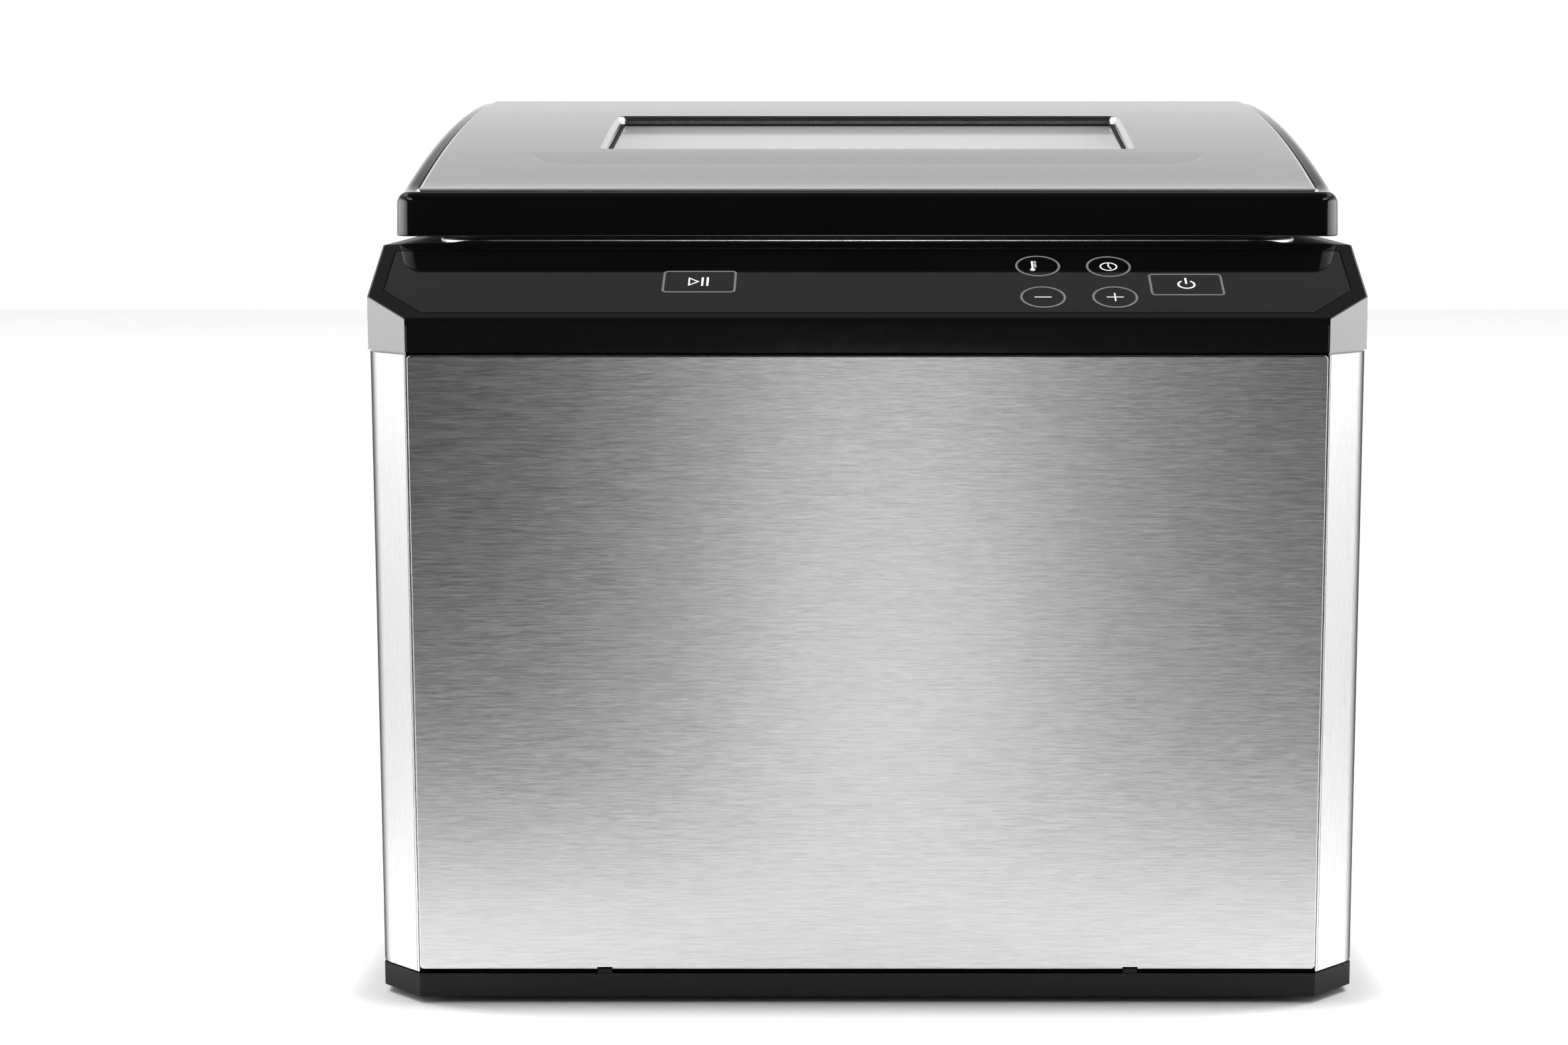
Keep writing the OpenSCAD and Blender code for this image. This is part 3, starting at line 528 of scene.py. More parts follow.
def plain_metal(name, colour, rough, cell=3.0, variation=0.05):
    """Metal with a faint cloudy finish and fine pitting."""
    tree, bsdf = shader(name)
    cloud = place_noise(tree, [cell * MM] * 3, detail=5.0)
    clouded(tree, bsdf, cloud, colour, variation)
    roughened(tree, bsdf, cloud, rough * 0.85, rough * 1.2)
    put(bsdf, Metallic=1.0)
    bumped(tree, bsdf, place_noise(tree, [0.25 * MM] * 3), 0.01 * MM, 0.3)


def moulded(name, colour, rough, grain=0.35, depth=0.02, variation=0.12, sheen=0.5):
    """Moulded plastic, rubber or ceramic: fine texture, slight unevenness of tone."""
    tree, bsdf = shader(name)
    clouded(tree, bsdf, place_noise(tree, [14 * MM] * 3), colour, variation)
    grainy = place_noise(tree, [grain * MM] * 3, detail=2.0)
    roughened(tree, bsdf, grainy, rough * 0.85, min(rough * 1.15, 1.0))
    put(bsdf, Specular_IOR_Level=sheen)
    bumped(tree, bsdf, grainy, depth * MM, 0.5)


def gloss(name, grey, rough, wave=0.25, painted_top_shade=False):
    """Piano-black moulding: mirror gloss with a faint flow; its upward faces can have their reflection cut,
    as painted shade.
    """
    tree, bsdf = shader(name)
    cloud = place_noise(tree, [40 * MM] * 3, detail=1.0)
    tinted(tree, bsdf, cloud, tone(grey * 0.9), tone(grey * 1.1))
    haze = place_noise(tree, [6 * MM] * 3, detail=4.0)
    roughened(tree, bsdf, haze, rough * 0.8, rough * 1.4)
    put(bsdf, IOR=1.5)
    if painted_top_shade:
        # painted shade: upward faces lose most of their reflection, so they read darker
        surface = tree.nodes.new("ShaderNodeNewGeometry")
        parts = tree.nodes.new("ShaderNodeSeparateXYZ")
        tree.links.new(surface.outputs["Normal"], parts.inputs["Vector"])
        sheen = ramp(tree, parts.outputs["Z"], [(0.0, 0.9), (0.25, 0.9), (0.6, 0.12), (1.0, 0.12)])
        tree.links.new(sheen, bsdf.inputs["Specular IOR Level"])
    bumped(tree, bsdf, cloud, 0.05 * MM, wave)


def satin_paint(name, grey, rough):
    """Silver paint: fine metallic flake under a thin clear coat."""
    tree, bsdf = shader(name)
    flake = place_noise(tree, [0.12 * MM] * 3, detail=1.0, rough=0.8)
    tinted(tree, bsdf, flake, tone(grey * 0.9), tone(grey * 1.1))
    roughened(tree, bsdf, flake, rough * 0.85, rough * 1.15)
    put(bsdf, Metallic=0.75, Coat_Weight=0.25, Coat_Roughness=0.2)
    bumped(tree, bsdf, flake, 0.006 * MM, 0.4)


def milky_glass(name):
    """Fogged glass under a clear coat, brighter at a grazing view."""
    tree, bsdf = shader(name)
    film = place_noise(tree, [12 * MM] * 3)
    tinted(tree, bsdf, film, (0.86, 0.89, 0.89), (0.9, 0.92, 0.92))
    roughened(tree, bsdf, film, 0.28, 0.34)
    put(bsdf, Transmission_Weight=0.55, IOR=1.45)
    put(bsdf, Sheen_Weight=0.9, Sheen_Roughness=0.35)
    put(bsdf, Coat_Weight=1.0, Coat_Roughness=0.1, Coat_IOR=1.7)


def felt(name, colour):
    tree, bsdf = shader(name)
    fibre = place_noise(tree, [0.5 * MM, 3 * MM, 0.5 * MM], detail=6.0, rough=0.7)
    tinted(tree, bsdf, fibre, tuple(c * 0.75 for c in colour), colour)
    roughened(tree, bsdf, fibre, 0.85, 1.0)
    bumped(tree, bsdf, fibre, 0.4 * MM, 0.8)


def silicone(name, colour):
    tree, bsdf = shader(name)
    cloud = place_noise(tree, [5 * MM] * 3)
    tinted(tree, bsdf, cloud, tuple(c * 0.92 for c in colour), colour)
    roughened(tree, bsdf, cloud, 0.4, 0.55)
    put(bsdf, Subsurface_Weight=0.2, Subsurface_Radius=(0.002, 0.002, 0.0018))


# one finish for every material slot of the record
moulded("black_plastic", (0.009, 0.009, 0.0095), 0.42, 0.3, 0.015, sheen=0.18)
moulded("rubber", (0.012, 0.012, 0.012), 0.75, 0.5, 0.03)
plain_metal("screw_steel", (0.6, 0.6, 0.6), 0.3)
brushed("brushed_steel", 0.68, 0.22, contrast=0.17, anisotropy=0.97)
# the bright sheets carry painted shade, darker where their bends turn from the eye
brushed("bright_steel", 0.94, 0.26, upright=True, contrast=0.015, anisotropy=0.3, bump=0.15,
        edge_shade_grey=0.1)
satin_paint("silver_paint", 0.37, 0.38)
# the gloss black's upward faces carry painted shade
gloss("gloss_black", 0.0085, 0.04, painted_top_shade=True)
gloss("overlay_black", 0.0075, 0.025, 0.12)
moulded("key_print", (0.5, 0.5, 0.5), 0.5, 0.1, 0.002, 0.04)
moulded("circuit_board", (0.02, 0.13, 0.05), 0.35, 1.2, 0.02)
moulded("display_plastic", (0.55, 0.55, 0.52), 0.5)
brushed("tank_steel", 0.68, 0.22, contrast=0.03, anisotropy=0.4, bump=0.2)
silicone("silicone", (0.62, 0.62, 0.6))
felt("insulation", (0.72, 0.69, 0.6))
plain_metal("aluminium", (0.62, 0.63, 0.64), 0.42, 1.5)
plain_metal("heater_steel", (0.16, 0.14, 0.13), 0.45, 8.0, 0.3)
moulded("ceramic", (0.72, 0.7, 0.64), 0.35)
plain_metal("brass", (0.7, 0.52, 0.22), 0.3)
moulded("white_plastic", (0.7, 0.7, 0.66), 0.45, variation=0.05)
plain_metal("motor_steel", (0.12, 0.12, 0.13), 0.4)
moulded("magnet", (0.06, 0.06, 0.065), 0.55, 0.8, 0.04)
moulded("component_black", (0.03, 0.03, 0.035), 0.5)
moulded("cable_black", (0.02, 0.02, 0.02), 0.55)
moulded("cable_grey", (0.42, 0.42, 0.4), 0.5)
plain_metal("rack_steel", (0.72, 0.72, 0.73), 0.16, 6.0, 0.03)
brushed("lid_steel", 0.78, 0.26, curved=True, contrast=0.05, anisotropy=0.6, bump=0.15)
milky_glass("glass")


def dress(piece, body, slot, *nodes):
    """Gives a piece its finish, its body and the CAD nodes that it stands for."""
    piece.data.materials.clear()
    piece.data.materials.append(FINISH[slot])
    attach(piece, body)
    if nodes:
        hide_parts(*nodes)


for part in RECORD["subparts"]:
    o = NODES[part["node"]]
    o.data.materials.clear()
    o.data.materials.append(FINISH[part["material_slot"]])


def soften(node, width, segments=3):
    """Rounds a CAD node's edges by a width in mm, with modifiers alone."""
    o = NODES[node]
    weld = o.modifiers.new("weld", "WELD")
    weld.merge_threshold = 1e-6
    bevel(o, width * MM, segments, 30)
    o.modifiers.new("normals", "WEIGHTED_NORMAL")


# ---- housing

def front_panel():
    """Folded sheet with soft front edges and a notch over each of the tray's snap tabs."""
    lo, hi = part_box("front_panel")
    r, t = 0.8 * MM, 0.8 * MM
    line = box_outline(hi.x - lo.x, hi.z - lo.z, 1.6 * MM, 0, (hi.z + lo.z) / 2, 6)
    profile = [(t, lo.y + t + 0.4 * MM), (t, hi.y), (0.0, hi.y)]
    profile += [(run, lo.y + drop) for run, drop in quarter(r, 6)]
    loops = [[Vector((p.x, y, p.y)) for p in line.loop(i)] for i, y in profile]
    piece = loft("front_panel_sheet", loops, sharp=50)
    half_w, reach, up = 2.7 * MM, 2 * MM, 1.0 * MM
    notches = []
    for x in (-93.5 * MM, 93.5 * MM):
        near = (x - half_w, lo.y - reach, lo.z - reach)
        far = (x + half_w, lo.y + reach, lo.z + up)
        notches.append(block("cut_notch", near, far))
    carve(piece, *notches)
    even_normals(piece)
    dress(piece, "housing", "brushed_steel", "front_panel")


def side_panel(side, name, node):
    """Bright sheet from the front chamfer round to the rear seam, with grip and vent openings."""
    seam_x = HALF_W - 25 * MM
    edge_x = FRONT_HALF + 0.15 * MM
    path = rounded_path([
        (edge_x, FRONT + 3.5 * MM, 0), (edge_x, FRONT + 0.2 * MM, 0.25 * MM),
        (HALF_W - 0.05 * MM, FRONT + CHAMFER, 12 * MM), (HALF_W - 0.05 * MM, REAR - 0.05 * MM, 12 * MM),
        (seam_x, REAR - 0.05 * MM, 0.8 * MM), (seam_x, REAR - 2.9 * MM, 0)])
    strip = [(side * p.x, p.y) for p in thick_strip(path, 0.8 * MM)]
    piece = prism(name, strip, SHELL_Z, SHELL_TOP)
    grip_lo, grip_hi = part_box(node.replace("side_panel", "grip_cup"))
    margin = 4 * MM
    grip = box_outline(grip_hi.y - grip_lo.y - 2 * margin, grip_hi.z - grip_lo.z - 2 * margin, 8 * MM,
                       (grip_hi.y + grip_lo.y) / 2, (grip_hi.z + grip_lo.z) / 2)
    near, far = sorted((side * (HALF_W - 5 * MM), side * (HALF_W + 5 * MM)))
    cutters = [prism("cut_grip", grip.loop(), near, far, across=True)]
    vents, first_z, pitch = 6, 40, 9
    for row in range(vents):
        slot_line = box_outline(44 * MM, 3 * MM, 1.45 * MM, REAR - 62 * MM, (first_z + row * pitch) * MM)
        cutters.append(prism("cut_vent", slot_line.loop(), near, far, across=True))
    carve(piece, *cutters)
    edge_round(piece, 0.3 * MM, 2, 50)
    dress(piece, "housing", "bright_steel", node)


def grip_cup(side, name, node):
    """Rounded finger pocket behind the side panel's opening."""
    lo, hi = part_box(node)
    mouth = hi.x if side > 0 else lo.x
    cy, cz = (lo.y + hi.y) / 2, (lo.z + hi.z) / 2
    w, h = hi.y - lo.y, hi.z - lo.z
    deep = hi.x - lo.x
    wall = 1.6 * MM
    outer = box_outline(w, h, 10 * MM, cy, cz)
    inner = box_outline(w - 8 * MM, h - 8 * MM, 8 * MM, cy, cz)
    r = 5 * MM
    rings = [(outer, 0, 0.0), (outer, 0, deep - r)]
    bow = quarter(r, 5)
    rings += [(outer, run, deep - drop) for run, drop in bow[1:]]
    rings += [(inner, run, deep - wall - drop) for run, drop in bow[::-1]]
    rings += [(inner, 0, 0.6 * MM), (inner, -0.5 * MM, 0.0)]
    loops = [[Vector((mouth - side * d, p.x, p.y)) for p in line.loop(i)] for line, i, d in rings]
    outside = len(bow) + 1
    skin = loops[:outside][::-1] + loops[outside:][::-1]
    piece = loft(name, skin, sharp=45)
    dress(piece, "housing", "black_plastic", node)


def control_bezel():
    """Sloping moulding with a soft front edge and a vertical lip."""
    lip_r = 2.2 * MM
    path = rounded_path([(PANEL_Y - 0.1 * MM, DECK_Z - 0.04 * MM, 0), (FRONT, LIP_Z, lip_r),
                         (FRONT, HEAD_Z, 0)], 10)
    section = [tuple(p) for p in thick_strip(path, SKIN)]
    piece = prism("control_bezel_moulding", section, -HALF_W, HALF_W, across=True)
    inset, spare = 0.6 * MM, 5 * MM
    w = HALF_W - inset
    c = CHAMFER - inset * (2 - math.sqrt(2)) + 0.35 * MM
    back, foot, top = FRONT + SKIN + 1 * MM, HEAD_Z - 1 * MM, LIP_Z - lip_r
    under = [(FRONT - spare, foot), (back, foot), (back, top), (FRONT - spare, top)]
    cutters = []
    for side in (-1, 1):
        # the chamfer corner and the strip outside it
        edge, beyond = side * (w - c), side * (HALF_W + spare)
        corner_cut = [(edge, FRONT - spare), (edge, FRONT - 0.02 * MM), (side * w, FRONT + c),
                      (side * w, REAR), (beyond, REAR), (beyond, FRONT - spare)]
        cutters.append(prism("cut_corner", corner_cut, HEAD_Z - spare, DECK_Z + spare))
        near, far = sorted((side * (w - c - 0.1 * MM), side * 0.2))
        cutters.append(prism("cut_lip", under, near, far, across=True))
    length = (PANEL_Y - FRONT) / math.cos(SLOPE)
    line = 4.9 * MM
    overlay = panel_outline(line, line, length - 4.5 * MM, 1.0 * MM)
    recess = loft("cut_overlay", [[on_panel(p.x, p.y, off) for p in overlay.loop()]
                                  for off in (-0.9 * MM, 4 * MM)])
    carve(piece, *cutters, recess)
    edge_round(piece, 0.35 * MM, 3, 40)
    dress(piece, "housing", "gloss_black", "control_bezel")


def on_panel(u, v, off):
    """Point on the sloping panel: u across, v up the slope, off its surface."""
    return Vector((u, FRONT + v * math.cos(SLOPE) - off * math.sin(SLOPE),
                   LIP_Z + v * math.sin(SLOPE) + off * math.cos(SLOPE)))


def panel_outline(inset, v0, v1, r):
    w = HALF_W - inset
    c, k = CHAMFER, 1 / math.cos(SLOPE)
    return Outline([(-w + c, v0, r), (w - c, v0, r), (w, v0 + c * k, r), (w, v1, r), (-w, v1, r),
                    (-w, v0 + c * k, r)], 4)


def corner_dip(loop):
    """Lowers a loop of the deck beside the flange's round corners, so that the steel shows there."""
    depth, inner, run = 0.9 * MM, 146 * MM, 5 * MM
    return [p - Vector((0, 0, depth * min(1.0, max(0.0, (abs(p.x) - inner) / run)))) for p in loop]


def rear_deck():
    """Black surround that rises smoothly from the panel's corners to the tank's flange."""
    lo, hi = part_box("rear_deck")
    tank_lo, tank_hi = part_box("water_tank")
    mid = (tank_lo.y + tank_hi.y) / 2
    rise, gap, steps = 1.4 * MM, 1.2 * MM, 8
    base = box_outline(2 * hi.x, hi.y - lo.y, 0.6 * MM, 0, (hi.y + lo.y) / 2, 10, None, 11 * MM)
    w, l = tank_hi.x - tank_lo.x + gap, tank_hi.y - tank_lo.y + gap
    plateau = box_outline(w, l, 20.6 * MM, 0, mid, 10)
    hole = box_outline(297 * MM, 205 * MM, 25 * MM, 0, mid, 10)
    loops = [at_level(base.loop(0.4 * MM), lo.z), at_level(base.loop(0.0), lo.z + 0.4 * MM),
             at_level(base.loop(0.0), hi.z - 0.5 * MM), at_level(base.loop(0.15 * MM), hi.z - 0.15 * MM),
             at_level(base.loop(0.5 * MM), hi.z)]
    near, top = base.loop(1.0 * MM), plateau.loop(0.0)
    for k in range(1, steps + 1):
        t = k / steps
        share = 1 - (1 - t) ** 3
        level = at_level(mixed(near, top, t), hi.z + rise * share)
        loops.append(mixed(level, corner_dip(level), share))
    loops += [corner_dip(at_level(plateau.loop(0.5 * MM), hi.z + rise)),
              at_level(plateau.loop(gap), hi.z), at_level(hole.loop(), hi.z), at_level(hole.loop(), lo.z)]
    piece = loft("deck_surround", loops, closed=True, sharp=50)
    even_normals(piece)
    dress(piece, "housing", "black_plastic", "rear_deck")


def touch_overlay():
    """Glossy sheet let into the bezel behind a fine gap."""
    length = (PANEL_Y - FRONT) / math.cos(SLOPE)
    edge = 5.25 * MM
    line = panel_outline(edge, edge, length - 4.85 * MM, 0.8 * MM)
    top = -0.05 * MM
    rings = [(0, top - 0.8 * MM), (0, top - 0.12 * MM), (0.04 * MM, top - 0.04 * MM), (0.12 * MM, top)]
    loops = [[on_panel(p.x, p.y, off) for p in line.loop(i)] for i, off in rings]
    piece = loft("touch_overlay_sheet", loops, sharp=60)
    even_normals(piece)
    dress(piece, "housing", "overlay_black", "touch_overlay")


# centres of the keys on the panel, and their sizes, all in mm
KEYS = {"thermometer": (60.7, 40.2), "timer": (85.9, 39.7), "minus": (61.4, 16.4), "plus": (86.6, 16.4),
        "power": (112.4, 25.9), "start": (-59.3, 28.1)}
KEY_R = 8
WIDE_KEY = (26, 16.4)
PRINT_FOOT, PRINT_TOP = -0.05, 0.03


def ink(name, shapes, key):
    """Thin printed film about a key's centre. Each shape is an outline in mm, or a pair, outer and inner."""
    cx, cy = KEYS[key]
    verts, faces = [], []
    for shape in shapes:
        outer, inner = shape if isinstance(shape, tuple) else (shape, None)
        n = len(outer)
        rings = [outer, outer] if inner is None else [outer, outer, inner, inner]
        base = len(verts)
        for ring, top in zip(rings, (PRINT_FOOT, PRINT_TOP, PRINT_TOP, PRINT_FOOT)):
            verts += [on_panel((cx + x) * MM, (cy + y) * MM, top * MM) for x, y in ring]
        for level in range(len(rings) - 1):
            a, b = base + level * n, base + (level + 1) * n
            faces += [(a + i, a + (i + 1) % n, b + (i + 1) % n, b + i) for i in range(n)]
        if inner is None:
            faces.append(tuple(base + n + i for i in range(n)))
    return new_object(name, verts, faces, smooth=False)


def circle(r, n=48, cx=0.0, cy=0.0, start=0.0, sweep=360.0):
    count = n if sweep >= 360 else n + 1
    return [(cx + r * math.cos(math.radians(start + sweep * k / n)),
             cy + r * math.sin(math.radians(start + sweep * k / n))) for k in range(count)]


def arc_band(r, w, start, sweep, n=40):
    return circle(r, n, start=start, sweep=sweep) + circle(r - w, n, start=start, sweep=sweep)[::-1]


def rect(x, y, w, h):
    """Rectangle from its middle left, with softened corners."""
    shape = box_outline(w, h, min(w, h) * 0.2, x + w / 2, y, 3)
    return [tuple(p) for p in shape.loop()]


def turned(points, degrees):
    c, s = math.cos(math.radians(degrees)), math.sin(math.radians(degrees))
    return [(x * c - y * s, x * s + y * c) for x, y in points]


def key_outlines():
    line = 0.8
    pieces = [ink("ring", [(circle(KEY_R, 72), circle(KEY_R - line, 72))], key)
              for key in ("thermometer", "timer", "minus", "plus")]
    shape = box_outline(WIDE_KEY[0], WIDE_KEY[1], 1.8)
    frame_line = ([tuple(p) for p in shape.loop(0)], [tuple(p) for p in shape.loop(line)])
    pieces += [ink("frame", [frame_line], key) for key in ("power", "start")]
    piece = join("key_outlines", pieces)
    dress(piece, "housing", "key_print")
    moulded("outline_print", (0.09, 0.09, 0.09), 0.5, 0.1, 0.002, 0.04)
    piece.data.materials[0] = FINISH["outline_print"]


def key_symbols():
    line = 0.5
    half = line / 2
    marks = [rect(-1.3, -0.8 + i * 1.05, 0.85, 0.42) for i in range(5)]
    play = ([(-3.9, -3.2), (0.05, 0), (-3.9, 3.2)], [(-3.35, -2.1), (-0.86, 0), (-3.35, 2.1)])
    pieces = [
        ink("thermo", [circle(0.95, 24, -1.9, -2.8), rect(-2.25, 0.9, 0.7, 5.6)] + marks, "thermometer"),
        ink("clock", [(circle(3.15), circle(3.15 - line)), rect(-half, 1.25, line, 2.6),
                      turned(rect(0.1, 0, 1.8, line), -62)], "timer"),
        ink("minus_sign", [rect(-3, 0, 6, line)], "minus"),
        ink("plus_sign", [rect(-3, 0, 6, line), rect(-half, 1.66, line, 2.68),
                          rect(-half, -1.66, line, 2.68)], "plus"),
        ink("power_sign", [arc_band(3.2, 0.7, 122, 296), rect(-0.35, 2.7, 0.7, 4.6)], "power"),
        ink("play_sign", [play, rect(0.7, 0, 0.75, 6.4), rect(2.5, 0, 0.75, 6.4)], "start")]
    dress(join("key_symbols", pieces), "housing", "key_print", "key_print")


def screw(name, centre, r, h):
    """Pan-head screw with a cross recess, facing the rear."""
    side, domed, sides = 0.35, 0.65, 28
    dome = [(r * (1 - run), h * (1 - domed * drop)) for run, drop in quarter(1, 6)[1:-1]]
    head = lathe(name, [(r, 0.0), (r, h * side)] + dome + [(0.04 * MM, h)], sides)
    arm = r * 0.62
    for turn in (0, 90):
        bar = block("cut_cross", (-arm, -r * 0.11, h * 0.25), (arm, r * 0.11, h * 2))
        bar.data.transform(Matrix.Rotation(math.radians(turn), 4, "Z"))
        carve(head, bar)
    spin = Matrix.Rotation(math.radians(-90), 4, "X")
    head.data.transform(Matrix.Translation(Vector(centre)) @ spin)
    return head


def rear_screws():
    lo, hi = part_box("rear_screws")
    r = 3.2 * MM
    y = high("rear_panel").y
    places = [(x, z) for x in (lo.x + r, hi.x - r) for z in (lo.z + r, (lo.z + hi.z) / 2, hi.z - r)]
    heads = [screw("head", (x, y, z), r, 1.8 * MM) for x, z in places]
    piece = join("rear_screw_heads", heads)
    shade(piece, 40)
    dress(piece, "housing", "screw_steel", "rear_screws")


def housing():
    front_panel()
    side_panel(-1, "side_sheet_left", "left_side_panel")
    side_panel(1, "side_sheet_right", "right_side_panel")
    grip_cup(-1, "grip_pocket_left", "left_grip_cup")
    grip_cup(1, "grip_pocket_right", "right_grip_cup")
    control_bezel()
    rear_deck()
    touch_overlay()
    key_outlines()
    key_symbols()
    rear_screws()
    soften("base_tray", 0.6)
    soften("top_frame", 0.45)
    soften("rear_panel", 0.25, 2)
    soften("rubber_feet", 0.5)
    soften("mains_inlet", 0.4)
    soften("inlet_pins", 0.3)
    soften("inlet_screws", 0.12, 2)
    soften("foot_screws", 0.2, 2)
    soften("base_screws", 0.2, 2)


# ---- tank and rack

def tank():
    """Deep-drawn tank with round lower corners and a rolled flange."""
    lo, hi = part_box("water_tank")
    t, gap = 0.8 * MM, 0.3 * MM
    mouth = box_outline(292 * MM, 200 * MM, 23 * MM, 0, MID_Y, 10)
    rim = box_outline(hi.x - lo.x, hi.y - lo.y, 20 * MM, 0, MID_Y, 10)
    top, foot = FLANGE_TOP, lo.z
    edge_r, lip_r, floor_r = 1.1 * MM, 3.5 * MM, 14 * MM
    rings = [(rim, t, DECK_Z + 0.2 * MM), (rim, 0.0, DECK_Z + 0.2 * MM)]
    rings += [(rim, run, top - drop) for run, drop in quarter(edge_r, 5)]
    rings += [(mouth, -drop, top - run) for run, drop in quarter(lip_r, 6)]
    rings += [(mouth, gap + run, foot + t + drop) for run, drop in quarter(floor_r, 8)]
    rings += [(mouth, 60 * MM, foot + t), (mouth, 60 * MM, foot)]
    rings += [(mouth, gap + run - t, foot + drop) for run, drop in quarter(floor_r + t, 8)[::-1]]
    rings += [(mouth, -t, top - lip_r), (mouth, -lip_r, top - t), (rim, edge_r, top - t)]
    skin = loft("tank_drawn", [at_level(line.loop(i), z) for line, i, z in rings], closed=True, sharp=60)
    plug = loft("tank_floor", [at_level(mouth.loop(59.5 * MM), z) for z in (foot + t, foot)])
    piece = join("tank_shell", [skin, plug])
    shade(piece, 60)
    even_normals(piece)
    soften("intake_grille", 0.3, 2)
    soften("outlet_nozzle", 0.3, 2)
    dress(piece, "housing", "tank_steel", "water_tank")


def rack():
    """Bent-wire pouch rack."""
    lo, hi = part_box("rack_frame")
    div_lo, div_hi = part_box("rack_dividers")
    r, thin = 2.5 * MM, 1.6 * MM
    x, y0, y1 = hi.x - r, lo.y + r, hi.y - r
    z_low, z_top = div_lo.z + thin, div_hi.z - thin
    wires = []
    for z in (z_low, z_top):
        corners = [(-x, y0, z), (x, y0, z), (x, y1, z), (-x, y1, z)]
        wires.append(tube("wire", corners, r, 4 * MM, closed=True))
    mid, reach, grip_z = (y0 + y1) / 2, 32 * MM, hi.z - r
    for wx in (-x, x):
        for y in (y0, y1):
            wires.append(tube("leg", [(wx, y, lo.z + 0.02 * MM), (wx, y, z_top)], r))
        handle = [(wx, mid - reach, z_top), (wx, mid - reach, grip_z), (wx, mid + reach, grip_z),
                  (wx, mid + reach, z_top)]
        wires.append(tube("handle", handle, r, 10 * MM))
    frame_piece = join("rack_wire_frame", wires)
    shade(frame_piece, 60)
    dress(frame_piece, "rack", "rack_steel", "rack_frame")
    count, gaps = 5, 5
    xs = [div_lo.x + thin + (div_hi.x - div_lo.x - 2 * thin) * k / (count - 1) for k in range(count)]
    a, b = div_lo.y + thin, div_hi.y - thin
    wires = []
    for px in xs:
        wires.append(tube("divider", [(px, a, z_low), (px, b, z_low), (px, b, z_top), (px, a, z_top)], thin,
                          5 * MM, closed=True, sides=10))
        for k in range(1, gaps):
            y = a + (b - a) * k / gaps
            wires.append(tube("bar", [(px, y, z_low), (px, y, z_top)], thin, sides=10))
    piece = join("rack_wire_dividers", wires)
    shade(piece, 60)
    dress(piece, "rack", "rack_steel", "rack_dividers")


# ---- lid

def lid_top(y):
    """Height of the lid's top surface: a level front band that runs into a long arc."""
    arc = ARC_Z + math.sqrt(ARC_R ** 2 - (ARC_Y - y) ** 2)
    soft = 0.8 * MM
    return (arc + FLAT_Z + math.sqrt((arc - FLAT_Z) ** 2 + soft ** 2)) / 2 - 0.006 * MM


def on_lid(loop, rise):
    return [Vector((p.x, p.y, lid_top(p.y) + rise)) for p in loop]


def lid_outline(segments=8):
    return box_outline(2 * LID_HALF, LID_HI.y - LID_LO.y, 8 * MM, 0, MID_Y, segments, 8 * MM, 10 * MM)


def matching(like, w, l, r, cy, r_rear=None):
    """Rounded rectangle with as many points as another outline."""
    other = box_outline(w, l, r, 0, cy, like.segments, None, r_rear)
    other.splits = like.splits
    return other


def ledge_outline(like):
    """Edge of the plate's ledge: narrower at the sides and nearer the front than the lid's own outline."""
    narrow, forward = 1.6 * MM, 0.8 * MM
    near, far = LID_LO.y - forward, LID_HI.y
    return matching(like, 2 * (LID_HALF - narrow), far - near, 8 * MM, (near + far) / 2, 10 * MM)


def lid_frame():
    """Glossy skirt with a rounded shoulder and the ledge that carries the plate."""
    line = lid_outline(10)
    ledge = ledge_outline(line)
    z = LID_LO.z
    r, draft = 4.3 * MM, 0.3 * MM
    loops = [at_level(line.loop(inset * MM), z + up * MM)
             for inset, up in ((2.6, 0.3), (2.3, 0), (0.5, 0), (0.12, 0.15), (0, 0.5))]
    loops += [on_lid(line.loop(draft + run), -drop) for run, drop in quarter(r, 8)]
    loops += [on_lid(ledge.loop(RIM - 0.1 * MM), -0.12 * MM),
              on_lid(ledge.loop(RIM), -0.4 * MM), on_lid(ledge.loop(RIM), -1.1 * MM),
              on_lid(line.loop(16 * MM), -1.1 * MM), on_lid(line.loop(16 * MM), -4.0 * MM),
              on_lid(line.loop(2.6 * MM + draft), -4.6 * MM)]
    piece = loft("lid_skirt", loops, closed=True, sharp=45)
    even_normals(piece)
    dress(piece, "lid", "gloss_black", "lid_frame")


def window_plane(y, off):
    """Height over the tilted plane of the window at an offset square to it."""
    return WINDOW_Z + (y - WINDOW_Y) * math.tan(WINDOW_TILT) + off / math.cos(WINDOW_TILT)


def on_window(loop, off):
    return [Vector((p.x, p.y, window_plane(p.y, off))) for p in loop]


